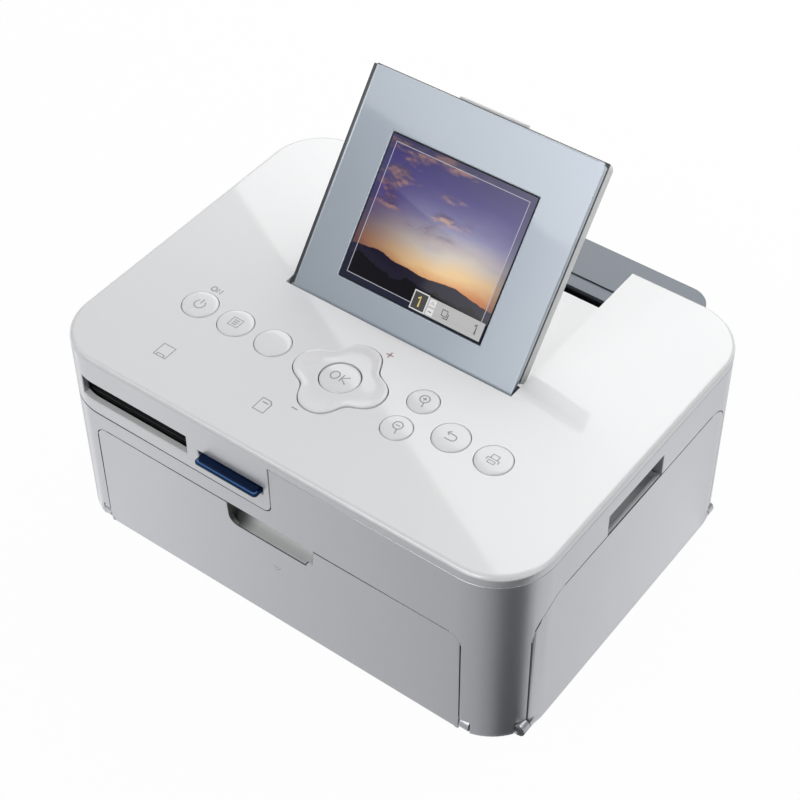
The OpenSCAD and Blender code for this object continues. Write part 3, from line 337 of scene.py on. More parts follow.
def effect_tree(effect: Effect) -> bpy.types.NodeTree:
    """Finds or builds the node group of an effect.

    Args:
        effect: The effect.

    Returns:
        Its node group, which takes a vector, a scale and the effect's own inputs.
    """
    found = bpy.data.node_groups.get(effect.value)
    if found:
        return found
    tree = bpy.data.node_groups.new(effect.value, "ShaderNodeTree")
    own, given, detail = EFFECT_PARTS[effect]
    for name, kind in {"Vector": "Vector", "Scale": "Float", **own}.items():
        tree.interface.new_socket(name=name, in_out="INPUT", socket_type="NodeSocket" + kind)
    tree.interface.new_socket(name=given, in_out="OUTPUT",
                              socket_type="NodeSocket" + own.get(given, "Float"))
    graph = Graph(tree)
    entry = graph.node("NodeGroupInput").outputs
    vector = entry["Vector"]
    if effect is Effect.BRUSHING:
        vector = graph.mapping(vector, Scale=LINE_STRETCH)
    result = graph.noise(vector, entry["Scale"], detail)
    if effect is Effect.TONE:
        shade = graph.node("ShaderNodeHueSaturation")
        value = graph.math("ADD", graph.swing(result, entry["Amount"]), 1.0)
        graph.feed(shade.inputs["Value"], value)
        graph.feed(shade.inputs["Color"], entry["Color"])
        result = shade.outputs[0]
    elif effect is Effect.HANDLING:
        swing = graph.swing(result, entry["Spread"])
        result = graph.math("ADD", entry["Roughness"], swing, clamp=True)
    graph.feed(graph.node("NodeGroupOutput").inputs[0], result)
    return tree


@dataclass
class Draft:
    """A material under way: its tree, the object coordinates in it and its main shader."""

    graph: Graph
    place: Socket
    shader: Node

    def feed(self, name: str, value: object) -> None:
        """Links an input of the shader, by name, or sets its value."""
        self.graph.feed(self.shader.inputs[name], value)

    def effect(self, effect: Effect, **values: object) -> Socket:
        """Places a shared effect on the object coordinates, with its own values."""
        return self.graph.effect(effect, Vector=self.place, **values)

    def relief(self, height: Socket, depth: float) -> None:
        """Turns a height pattern into bumps.

        Args:
            height: The pattern, from 0 to 1.
            depth: How high it stands, in metres.
        """
        bump = self.graph.node("ShaderNodeBump")
        bump.inputs["Distance"].default_value = depth
        self.graph.feed(bump.inputs["Height"], height)
        self.feed("Normal", bump.outputs[0])


# ------------ finishes


@dataclass(frozen=True)
class Finish:
    """What every finish has: a name, a colour and how it scatters light."""

    name: str
    color: Colour
    roughness: float = 0.4
    metallic: float = 0.0
    spread: float = 0.05
    tone: float = 0.03
    tone_scale: float = 18.0
    specular: float = 0.5
    wear_scale: float = 40.0

    def material(self) -> bpy.types.Material:
        """Finds or builds the finish's material.

        Returns:
            The material, built once.
        """
        found = bpy.data.materials.get("finish_" + self.name)
        if found:
            return found
        made, graph = new_material("finish_" + self.name)
        place = graph.node("ShaderNodeTexCoord").outputs["Object"]
        draft = Draft(graph, place, graph.node("ShaderNodeBsdfPrincipled"))
        graph.surface(draft.shader.outputs[0])
        draft.feed("Metallic", self.metallic)
        draft.feed("Specular IOR Level", self.specular)
        self.paint(draft)
        made.diffuse_color = rgba(self.color)
        return made

    def paint(self, draft: Draft) -> None:
        """Wires the colour and the roughness, which every finish varies a little.

        Args:
            draft: The material under way.
        """
        draft.feed("Base Color", self.tinted(draft))
        self.wear(draft)

    def tinted(self, draft: Draft) -> Socket:
        """Returns the finish's colour with its soft clouds."""
        return draft.effect(Effect.TONE, Scale=self.tone_scale, Color=self.color,
                            Amount=self.tone)

    def wear(self, draft: Draft) -> None:
        """Varies the roughness as handling does."""
        draft.feed("Roughness", draft.effect(Effect.HANDLING, Scale=self.wear_scale,
                                             Roughness=self.roughness, Spread=self.spread))


@dataclass(frozen=True)
class Moulding(Finish):
    """A moulded plastic, satin or under a gloss coat, with a fine spark grain."""

    coat: float = 0.0
    coat_roughness: float = 0.04
    grain_scale: float = 2600.0
    grain_depth: float = 0.004 * MM

    def paint(self, draft: Draft) -> None:
        """Adds the coat and the grain of the mould to the plain finish.

        Args:
            draft: The material under way.
        """
        super().paint(draft)
        draft.feed("Coat Weight", self.coat)
        draft.feed("Coat Roughness", self.coat_roughness)
        draft.relief(draft.effect(Effect.GRAIN, Scale=self.grain_scale), self.grain_depth)


@dataclass(frozen=True)
class PaintedShadeRecess(Moulding):
    """Moulded plastic of a recess, pale as painted light, with painted shade from dark_from to
    dark_until that fades out by pale_from, along X.
    """

    # Colour of the painted shade.
    deep: Colour = (0.10, 0.10, 0.10)
    dark_from: float = 0.0
    dark_until: float = 0.5
    pale_from: float = 1.0
    rise: float = 0.1 * MM

    def paint(self, draft: Draft) -> None:
        """Paints shade into the moulded colour between dark_from and pale_from.

        Args:
            draft: The material under way.
        """
        super().paint(draft)
        graph, base = draft.graph, draft.shader.inputs["Base Color"]
        x = graph.split(draft.place)[0]
        dark = graph.math("MULTIPLY", graph.step(x, self.dark_from - self.rise, self.dark_from),
                          graph.step(x, self.pale_from, self.dark_until))
        graph.feed(base, graph.mix(dark, base.links[0].from_socket, self.deep))


@dataclass(frozen=True)
class Metal(Finish):
    """Sheet or turned metal with fine drawn lines."""

    metallic: float = 1.0
    line_scale: float = 3000.0
    line_depth: float = 0.004 * MM

    def paint(self, draft: Draft) -> None:
        """Adds the drawn lines to the plain finish.

        Args:
            draft: The material under way.
        """
        super().paint(draft)
        draft.relief(draft.effect(Effect.BRUSHING, Scale=self.line_scale), self.line_depth)


@dataclass(frozen=True)
class CircuitBoard(Finish):
    """Solder mask over a fine net of copper tracks, with near-black painted shade on the faces that
    are not broad sides.
    """

    track: Colour = (0.10, 0.30, 0.16)
    # Near-black painted shade for the faces that are not broad sides.
    rim: Colour = (0.02, 0.02, 0.014)
    track_scale: float = 420.0
    track_edge: Point = (0.10, 0.06)
    track_height: float = 0.03 * MM
    broad_side: Point = (0.4, 0.6)

    def paint(self, draft: Draft) -> None:
        """Adds the tracks, and the painted shade on the narrow faces, to the plain finish.

        Args:
            draft: The material under way.
        """
        super().paint(draft)
        graph = draft.graph
        cells = graph.node("ShaderNodeTexVoronoi", feature="DISTANCE_TO_EDGE", distance="CHEBYCHEV")
        graph.feed(cells.inputs["Vector"], draft.place)
        cells.inputs["Scale"].default_value = self.track_scale
        mask = graph.step(cells.outputs["Distance"], *self.track_edge)
        facing = graph.split(graph.node("ShaderNodeNewGeometry").outputs["True Normal"])
        # Faces that don't face up or down take the painted shade.
        broad = graph.step(graph.math("ABSOLUTE", facing[2]), *self.broad_side)
        tracked = graph.mix(mask, self.color, self.track)
        draft.feed("Base Color", graph.mix(broad, self.rim, tracked))
        draft.relief(mask, self.track_height)


@dataclass(frozen=True)
class Lit(Finish):
    """A flat field that the screen lights from behind."""

    tone: float = 0.04
    tone_scale: float = 90.0
    unlit: Colour = (0.01, 0.01, 0.01)
    glow: float = 0.85

    def paint(self, draft: Draft) -> None:
        """Lights the field in its own colour.

        Args:
            draft: The material under way.
        """
        self.wear(draft)
        draft.feed("Base Color", rgba(self.unlit))
        draft.feed("Emission Color", self.tinted(draft))
        draft.feed("Emission Strength", self.glow)


Pattern = tuple[Point, float, float, float]
Ridge = tuple[float, float, float, float]


@dataclass
class Sketch:
    """A picture's two axes in a shader tree, with the shapes that are drawn along them."""

    graph: Graph
    across: Socket
    up: Socket
    soft_edge: float = 0.003
    soft_ridge: float = 0.006

    def pattern(self, stretch: Point, seed: float, scale: float, detail: float,
                drop: float = 0.0) -> Socket:
        """Adds a noise pattern that is stretched over the picture.

        Args:
            stretch: How much it is drawn together across and up.
            seed: A number that picks the pattern.
            scale: Scale of the noise.
            detail: Detail of the noise.
            drop: How far above it the pattern is read, as a share of the height.

        Returns:
            The pattern's value.
        """
        up = self.graph.math("SUBTRACT", self.up, drop) if drop else self.up
        where = self.graph.node("ShaderNodeCombineXYZ")
        for socket, axis, share in zip(where.inputs, (self.across, up), stretch):
            self.graph.feed(socket, self.graph.math("MULTIPLY", axis, share))
        where.inputs[2].default_value = seed
        return self.graph.noise(where.outputs[0], scale, detail)

    def ridge(self, waves: float, base: float, swing: float, seed: float) -> Socket:
        """Draws one ridge of hills.

        Args:
            waves: How many hills lie side by side.
            base: The ridge's mean height, as a share of the picture's.
            swing: How much the height changes.
            seed: A number that sets this ridge's outline.

        Returns:
            A mask, 1 on the hills and 0 above them.
        """
        outline = self.graph.node("ShaderNodeTexNoise", noise_dimensions="1D")
        self.graph.feed(outline.inputs["W"], self.graph.math("ADD", self.across, seed))
        outline.inputs["Scale"].default_value = waves
        outline.inputs["Detail"].default_value = 4.0
        lifted = self.graph.math("MULTIPLY", outline.outputs[0], swing)
        height = self.graph.math("ADD", lifted, base)
        return self.graph.step(self.graph.math("SUBTRACT", height, self.up), 0.0, self.soft_ridge)

    def inside(self, side: float, rise: float) -> Socket:
        """Draws a rectangle within the picture.

        Args:
            side: Width of the edge at the left and the right, as a share.
            rise: Width of the edge below and above, as a share.

        Returns:
            A mask, 1 inside the rectangle and 0 in the edge round it.
        """
        masks = []
        for axis, edge in ((self.across, side), (self.up, rise)):
            ends = [self.graph.step(axis, edge - self.soft_edge, edge),
                    self.graph.step(axis, 1 - edge + self.soft_edge, 1 - edge)]
            masks.append(self.graph.math("MULTIPLY", *ends))
        return self.graph.math("MULTIPLY", *masks)

    def nearness(self, spot: Point, squeeze: Point, reach: Point) -> Socket:
        """Draws a soft round field about a spot.

        Args:
            spot: Its middle.
            squeeze: How much distances across and up count.
            reach: The distances at which the field is 0 and at which it is 1.

        Returns:
            The field, from 0 to 1.
        """
        squares = []
        for axis, middle, share in zip((self.across, self.up), spot, squeeze):
            off = self.graph.math("MULTIPLY", self.graph.math("SUBTRACT", axis, middle), share)
            squares.append(self.graph.math("MULTIPLY", off, off))
        distance = self.graph.math("SQRT", self.graph.math("ADD", *squares))
        return self.graph.step(distance, *reach)


@dataclass(frozen=True)
class DuskPicture(Finish):
    """The screen's picture, hills under an evening sky, seen through a glossy window.

    The picture lies on the tilted screen: centre is its middle, size its width and height in
    metres, and tilt the angle of the screen above the horizontal in radians. A ridge is given by
    its number of hills, its mean height, its swing and its seed, and a pattern by its stretch,
    seed, scale and detail.
    """

    roughness: float = 0.06
    spread: float = 0.03
    wear_scale: float = 60.0
    centre: Place = (0.0, 0.0, 0.0)
    size: Point = (1.0, 1.0)
    tilt: float = 0.0
    crop: float = 0.002
    border: float = 0.006
    glow: float = 0.9
    haze: float = 0.22
    mist: Pattern = ((1.6, 3.4), 7.7, 1.5, 6.0)
    sun: Point = (0.66, 0.31)
    sun_squeeze: Point = (0.85, 0.95)
    sun_reach: Point = (0.60, 0.02)
    far_ridge: Ridge = (2.2, 0.190, 0.10, 11.0)
    near_ridge: Ridge = (5.0, 0.085, 0.16, 3.0)
    far_hills: Colour = (0.012, 0.009, 0.024)
    near_hills: Colour = (0.0015, 0.0012, 0.003)
    dimmed: Colour = (0.030, 0.034, 0.075)
    dimming: float = 0.45
    frame: Colour = (0.006, 0.006, 0.012)
    unlit: Colour = (0.004, 0.004, 0.005)
    cloud_dark: Colour = (0.085, 0.055, 0.12)
    cloud_dusky: Colour = (0.36, 0.19, 0.17)
    cloud_sunny: Colour = (0.78, 0.50, 0.34)
    cloud_shape: Pattern = ((2.2, 5.2), 4.2, 1.7, 9.0)
    cloud_zone: tuple[Point, Point] = ((0.40, 0.60), (0.86, 0.40))
    cloud_edge: Point = (0.50, 0.66)
    cloud_light: Point = (-0.02, 0.09)
    cloud_cover: float = 0.9
    cloud_drop: float = 0.022
    lit_sky: tuple[tuple[float, Colour], ...] = (
        (0.00, (0.30, 0.10, 0.05)), (0.22, (0.72, 0.27, 0.08)), (0.31, (0.90, 0.62, 0.32)),
        (0.42, (0.72, 0.64, 0.55)), (0.58, (0.36, 0.36, 0.55)), (0.80, (0.095, 0.078, 0.30)),
        (1.00, (0.052, 0.038, 0.20)))
    dim_sky: tuple[tuple[float, Colour], ...] = (
        (0.00, (0.02, 0.012, 0.02)), (0.20, (0.12, 0.04, 0.03)), (0.30, (0.24, 0.10, 0.07)),
        (0.42, (0.16, 0.11, 0.14)), (0.60, (0.085, 0.065, 0.22)), (0.82, (0.05, 0.036, 0.185)),
        (1.00, (0.035, 0.025, 0.13)))

    def paint(self, draft: Draft) -> None:
        """Draws the sky, the light above the hills, the clouds and two ridges of hills.

        Args:
            draft: The material under way.
        """
        graph = draft.graph
        sheet = self.sketch(draft)
        swing = graph.swing(sheet.pattern(*self.mist), self.haze)
        height = graph.math("ADD", sheet.up, swing)
        glow = sheet.nearness(self.sun, self.sun_squeeze, self.sun_reach)
        sky = graph.mix(glow, graph.ramp(height, self.dim_sky), graph.ramp(height, self.lit_sky))
        clouded = self.clouds(sheet, sky, glow)
        hills = graph.mix(sheet.ridge(*self.far_ridge), clouded, self.far_hills)
        scene = graph.mix(sheet.ridge(*self.near_ridge), hills, self.near_hills)
        printed = sheet.inside(self.crop / self.size[0], self.crop / self.size[1])
        cropped = graph.math("MULTIPLY", graph.math("SUBTRACT", 1.0, printed), self.dimming)
        dimmed = graph.mix(cropped, scene, self.dimmed)
        framed = graph.mix(sheet.inside(self.border, self.border), self.frame, dimmed)
        draft.feed("Emission Color", framed)
        draft.feed("Emission Strength", self.glow)
        draft.feed("Base Color", rgba(self.unlit))
        self.wear(draft)

    def sketch(self, draft: Draft) -> Sketch:
        """Turns a place on the tilted screen into shares of the picture.

        Args:
            draft: The material under way.

        Returns:
            The picture's axes, from 0 to 1 across it and up it.
        """
        graph = draft.graph
        back = Matrix.Rotation(-self.tilt, 3, "X")
        flat = graph.mapping(draft.place, Rotation=(-self.tilt, 0.0, 0.0),
                             Location=-(back @ Vector(self.centre)))
        unit = graph.mapping(flat, Scale=(1 / self.size[0], 1 / self.size[1], 1.0),
                             Location=(0.5, 0.5, 0.0))
        across, up, _ = graph.split(unit)
        return Sketch(graph, across, up)

    def clouds(self, sheet: Sketch, sky: Socket, glow: Socket) -> Socket:
        """Lays soft broken clouds, lit from below, over the upper left of the sky.

        Args:
            sheet: The picture's axes.
            sky: The colour behind the clouds.
            glow: How strongly the sun lights the sky there.

        Returns:
            The colour with the clouds.
        """
        graph = sheet.graph
        shape = sheet.pattern(*self.cloud_shape)
        below = sheet.pattern(*self.cloud_shape, self.cloud_drop)
        zone = graph.math("MULTIPLY", graph.step(sheet.up, *self.cloud_zone[0]),
                          graph.step(sheet.across, *self.cloud_zone[1]))
        mask = graph.math("MULTIPLY", graph.step(shape, *self.cloud_edge), zone)
        lit = graph.step(graph.math("SUBTRACT", shape, below), *self.cloud_light)
        warm = graph.mix(glow, self.cloud_dusky, self.cloud_sunny)
        tint = graph.mix(lit, self.cloud_dark, warm)
        return graph.mix(graph.math("MULTIPLY", mask, self.cloud_cover), sky, tint)


COVER_WHITE = Moulding("cover_white", (0.80, 0.80, 0.795), 0.30, coat=0.9, tone=0.012,
                       grain_depth=0.001 * MM, spread=0.03)
COVER_SKIRT = Moulding("cover_skirt", (0.56, 0.57, 0.585), 0.32, metallic=0.6, tone=0.015)
# Door pockets: a pale colour that paints the light on the floor, and painted shade near the left
# end.
POCKET_PAINTED_LIGHT_AND_SHADE = PaintedShadeRecess("pocket_painted_light_and_shade", (0.80, 0.81, 0.80), 0.5, tone=0.02, deep=(0.09, 0.09, 0.085),
                     dark_from=-17.0 * MM, dark_until=-14.5 * MM, pale_from=-7.0 * MM)
GAP_SHADE = Moulding("gap_shade", (0.10, 0.105, 0.115), 0.55, tone=0.05)
KEY_WHITE = Moulding("key_white", (0.80, 0.80, 0.80), 0.28, coat=0.6, tone=0.012,
                     grain_depth=0.001 * MM)
PANEL_WHITE = Moulding("panel_white", (0.66, 0.665, 0.66), 0.38, coat=0.2, tone=0.02)
SHELL_GREY = Moulding("shell_grey", (0.50, 0.51, 0.535), 0.32, metallic=0.75, tone=0.02)
REAR_GREY = Moulding("rear_grey", (0.115, 0.132, 0.155), 0.30, metallic=0.3, coat=0.2, tone=0.04)
BEZEL_SILVER = Moulding("bezel_silver", (0.345, 0.39, 0.445), 0.30, metallic=0.35, coat=1.0,
                        tone=0.02, grain_depth=0.001 * MM)
DARK_PLASTIC = Moulding("dark_plastic", (0.022, 0.023, 0.026), 0.42, tone=0.10)
# Light silver of the strip that is painted as the highlight of the bezel's edge.
PAINTED_HIGHLIGHT_SILVER = Moulding("painted_highlight_silver", (0.46, 0.50, 0.55), 0.30, metallic=0.3, coat=0.8, tone=0.03)
TRIM_DARK = Moulding("trim_dark", (0.045, 0.05, 0.058), 0.30, tone=0.05)
CARD_BLUE = Moulding("card_blue", (0.002, 0.026, 0.075), 0.40, tone=0.06, specular=0.15)
CARD_NAVY = Moulding("card_navy", (0.001, 0.010, 0.042), 0.40, tone=0.08, specular=0.10)
# Bright blue of the card's parting rib, a painted highlight.
CARD_PAINTED_HIGHLIGHT = Moulding("card_painted_highlight", (0.070, 0.19, 0.50), 0.22, tone=0.25, tone_scale=160.0)
STEEL = Metal("steel", (0.55, 0.56, 0.58), 0.32)
ALUMINIUM = Metal("aluminium", (0.62, 0.63, 0.65), 0.36, line_scale=1800.0)
RUBBER = Moulding("rubber", (0.018, 0.018, 0.019), 0.75, tone=0.15, grain_depth=0.02 * MM)
# Its narrow faces take near-black painted shade.
BOARD_GREEN = CircuitBoard("board_green", (0.02, 0.14, 0.07), 0.35)
GEAR_WHITE = Moulding("gear_white", (0.72, 0.71, 0.65), 0.42, tone=0.05)
RIBBON_FILM = Moulding("ribbon_film", (0.05, 0.02, 0.03), 0.22, coat=0.5, tone=0.2)
MARK_GREY = Moulding("mark_grey", (0.36, 0.36, 0.38), 0.5, tone=0.06)
MARK_SILVER = Moulding("mark_silver", (0.30, 0.31, 0.33), 0.4, metallic=0.4, tone=0.04)
MARK_ROSE = Moulding("mark_rose", (0.44, 0.27, 0.29), 0.5, tone=0.06)
SCREEN_FRAME = Lit("screen_frame", (0.46, 0.44, 0.52), 0.3)
SCREEN_BAR = Lit("screen_bar", (0.50, 0.50, 0.50), 0.3)
SCREEN_DARK = Lit("screen_dark", (0.015, 0.015, 0.01), 0.3)
SCREEN_WHITE = Lit("screen_white", (0.80, 0.80, 0.80), 0.3)
SCREEN_AMBER = Lit("screen_amber", (0.85, 0.62, 0.16), 0.3)
SCREEN_BLACK = Lit("screen_black", (0.02, 0.02, 0.02), 0.3)

SLOT_FINISHES: dict[str, Finish] = {
    "cover_white": COVER_WHITE, "shell_grey": SHELL_GREY, "rear_grey": REAR_GREY,
    "bezel_silver": BEZEL_SILVER, "screen_glass": DARK_PLASTIC, "dark_plastic": DARK_PLASTIC,
    "card_blue": CARD_BLUE, "key_white": KEY_WHITE, "steel": STEEL, "aluminium": ALUMINIUM,
    "rubber": RUBBER, "board_green": BOARD_GREEN, "gear_white": GEAR_WHITE,
    "ribbon_film": RIBBON_FILM,
}


# ------------ piece booking


@dataclass(frozen=True)
class Tag:
    """How a finished piece is booked in the frame."""

    name: str
    body: str
    slot: str
    finish: Finish
    stands_for: tuple[str, ...] = ()
    more_finishes: tuple[Finish, ...] = ()


def to_mesh(bm: Mesh, name: str) -> bpy.types.Mesh:
    """Writes a bmesh into a new mesh.

    Args:
        bm: The bmesh. It is freed.
        name: The mesh's name.

    Returns:
        The mesh.
    """
    mesh = bpy.data.meshes.new(name)
    bm.to_mesh(mesh)
    bm.free()
    return mesh


def add_object(name: str, data: bpy.types.ID) -> Object:
    """Adds an object to the scene.

    Args:
        name: The object's name.
        data: Its mesh, lamp or camera.

    Returns:
        The object.
    """
    made = bpy.data.objects.new(name, data)
    bpy.context.scene.collection.objects.link(made)
    return made


def book(bm: Mesh, tag: Tag, crease: float = 32.0, weighted: bool = False) -> Object:
    """Makes a mesh into an object that rides on its body.

    Args:
        bm: The mesh in the row's frame. It is freed.
        tag: The piece's name, body, slot and finish, and the nodes that it replaces.
        crease: Angle in degrees above which an edge stays sharp.
        weighted: Lets large faces keep their flat shading next to a bevel.

    Returns:
        The new object.
    """
    for face in bm.faces:
        face.smooth = True
    mesh = to_mesh(bm, tag.name)
    mesh.set_sharp_from_angle(angle=math.radians(crease))
    for finish in (tag.finish, *tag.more_finishes):
        mesh.materials.append(finish.material())
    piece = add_object(tag.name, mesh)
    if weighted:
        shading = piece.modifiers.new("flat_faces", "WEIGHTED_NORMAL")
        shading.keep_sharp = True
    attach(piece, tag.body)
    if tag.stands_for:
        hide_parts(*tag.stands_for)
    log.info("%s: %d faces on %s", tag.name, len(mesh.polygons), tag.body)
    return piece


def node_body(node: str) -> str:
    """Returns the body that a CAD node rides on."""
    return frame["nodes"][node]["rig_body"]


def node_slot(node: str) -> str:
    """Returns the record's material slot of a CAD node."""
    return next(part["material_slot"] for part in frame["record"]["subparts"]
                if part["node"] == node)


def stand_in(bm: Mesh, node: str, ending: str, finish: Finish | None = None,
             more: tuple[Finish, ...] = (), **shading: float) -> Object:
    """Books a mesh that stands for a CAD node, on the node's body, with its slot's finish unless
    another is given.

    Args:
        bm: The mesh. It is freed.
        node: The node.
        ending: What the piece's name adds to the node's.
        finish: The piece's finish; the slot's finish if there is none.
        more: Finishes of faces that have a number of their own.
        shading: How the mesh is shaded; see book.

    Returns:
        The piece.
    """
    slot = node_slot(node)
    tag = Tag(node + ending, node_body(node), slot, finish or SLOT_FINISHES[slot], (node,), more)
    return book(bm, tag, **shading)


def top_middle(node: str) -> Vector:
    """Returns the middle of the top of a node's box."""
    low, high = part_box(node)
    return Vector(((low.x + high.x) / 2, (low.y + high.y) / 2, high.z))


@dataclass(frozen=True)
class BodyOutline:
    """The body's outline in plan, a rectangle with round corners."""

    corner: float = 19.5 * MM
    box: tuple[Vector, Vector] = field(default_factory=lambda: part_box("body_shell"))

    def places(self, point: Vector) -> tuple[list[float], list[float]]:
        """Places a point in plan.

        Args:
            point: The point.

        Returns:
            How far it is from the middle, and how far past the straight part of each side.
        """
        low, high = self.box
        offset = [point[i] - (low[i] + high[i]) / 2 for i in (0, 1)]
        over = [abs(offset[i]) - ((high[i] - low[i]) / 2 - self.corner) for i in (0, 1)]
        return offset, over

    def depth(self, point: Vector) -> float:
        """Returns how far inside the outer wall a point lies, in plan."""
        _, (qx, qy) = self.places(point)
        return self.corner - math.hypot(max(qx, 0.0), max(qy, 0.0)) - min(max(qx, qy), 0.0)

    def outward(self, point: Vector) -> Vector:
        """Finds the way out of the body.

        Args:
            point: The point.

        Returns:
            The level direction out of the wall that lies nearest to it.
        """
        offset, over = self.places(point)
        if min(over) < 0:
            over = [float(over[0] >= over[1]), float(over[1] > over[0])]
        return Vector([math.copysign(over[i], offset[i]) for i in (0, 1)] + [0.0]).normalized()


SHARP_ANGLE = math.radians(31)


def sharp_edges(bm: Mesh, wanted: PointTest) -> list[Edge]:
    """Finds the sharp edges of a mesh whose both ends pass a test.

    Args:
        bm: The mesh.
        wanted: The test of a point.

    Returns:
        The edges.
    """
    return [e for e in bm.edges if e.is_manifold and e.calc_face_angle(0.0) > SHARP_ANGLE
            and all(wanted(v.co) for v in e.verts)]


def round_off(bm: Mesh, edges: list[Edge], width: float, segments: int,
              clamp: bool = True) -> None:
    """Rounds edges of a mesh.

    Args:
        bm: The mesh.
        edges: The edges.
        width: Width of the rounding in metres.
        segments: How many faces round each edge.
        clamp: Whether the shortest edge nearby limits the width everywhere.
    """
    bmesh.ops.bevel(bm, geom=edges, offset=width, offset_type="OFFSET", affect="EDGES",
                    segments=segments, profile=0.5, material=-1, clamp_overlap=clamp,
                    loop_slide=True)


@dataclass
class SoftCopy:
    """A copy of a CAD node whose sharp edges are rounded and which stands for the node.

    Long edges in the seam region get the wider seam rounding, and a face gets the first of the
    other finishes whose test it passes.
    """

    node: str
    edge: float
    finish: Finish | None = None
    seam: float = 0.0
    in_seam: PointTest = lambda point: False
    long_enough: float = 2.8
    others: Sequence[tuple[Finish, FaceTest]] = ()
    same_point: float = 0.002 * MM
    flat_angle: float = math.radians(0.3)
    too_short: float = 0.001 * MM
    crease: float = 50.0

    def build(self) -> Object:
        """Copies, merges, rounds and books the mesh.

        Returns:
            The rounded piece.
        """
        bm = bmesh.new()
        bm.from_mesh(frame["nodes"][self.node].data)
        bmesh.ops.remove_doubles(bm, verts=bm.verts, dist=self.same_point)
        bmesh.ops.dissolve_limit(bm, angle_limit=self.flat_angle, verts=bm.verts, edges=bm.edges)
        if self.seam:
            long_edges = [e for e in sharp_edges(bm, self.in_seam)
                          if e.calc_length() > self.long_enough * self.seam]
            round_off(bm, long_edges, self.seam, 3, clamp=False)
        round_off(bm, sharp_edges(bm, lambda point: not self.in_seam(point)), self.edge, 2)
        low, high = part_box(self.node)
        for vert in bm.verts:
            vert.co = [min(max(vert.co[i], low[i]), high[i]) for i in range(3)]
        bmesh.ops.dissolve_degenerate(bm, dist=self.too_short, edges=bm.edges)
        bm.normal_update()
        for face in bm.faces:
            passed = [index for index, (_, test) in enumerate(self.others, 1) if test(face)]
            face.material_index = passed[0] if passed else 0
        more = tuple(finish for finish, _ in self.others)
        return stand_in(bm, self.node, "_moulded", self.finish, more, crease=self.crease,
                        weighted=True)


def slab(low: Vector, high: Vector, edge: float, segments: int = 2) -> Mesh:
    """Makes a box with rounded edges.

    Args:
        low: Its lowest corner.
        high: Its highest corner.
        edge: Radius of its edges.
        segments: How many faces round each edge.

    Returns:
        The mesh.
    """
    bm = bmesh.new()
    place = Matrix.Translation((low + high) / 2) @ Matrix.Diagonal((*(high - low), 1))
    bmesh.ops.create_cube(bm, size=1.0, matrix=place)
    if edge:
        bmesh.ops.bevel(bm, geom=bm.edges[:], offset=edge, affect="EDGES", segments=segments,
                        profile=0.5, material=-1)
    return bm


def turned(profile: Sequence[Point], centre: Vector, steps: int = 64) -> Mesh:
    """Spins an outline about an upright axis into a closed solid.

    Args:
        profile: Points as radius and height, from the axis below to the axis above.
        centre: Where the axis stands; its height is added to the outline's.
        steps: How many faces go round.

    Returns:
        The mesh.
    """
    bm = bmesh.new()
    points = [bm.verts.new((centre.x + r, centre.y, centre.z + z)) for r, z in profile]
    edges = [bm.edges.new(pair) for pair in zip(points, points[1:])]
    bmesh.ops.spin(bm, geom=points + edges, cent=centre, axis=(0, 0, 1), angle=math.tau,
                   steps=steps, use_merge=True, use_duplicate=False)
    bmesh.ops.remove_doubles(bm, verts=bm.verts, dist=0.001 * MM)
    bmesh.ops.recalc_face_normals(bm, faces=bm.faces)
    return bm


def quarter(radius: float, height: float, edge: float, steps: int = 5) -> list[Point]:
    """Draws a rounded outer edge.

    Args:
        radius: Radius of the side.
        height: Height of the top.
        edge: Radius of the rounding.
        steps: How many faces round it.

    Returns:
        Points of radius and height, from the side to the top.
    """
    turns = [math.pi / 2 * i / steps for i in range(steps + 1)]
    return [(radius - edge + edge * math.cos(a), height - edge + edge * math.sin(a))
            for a in turns]


# ------------ casing


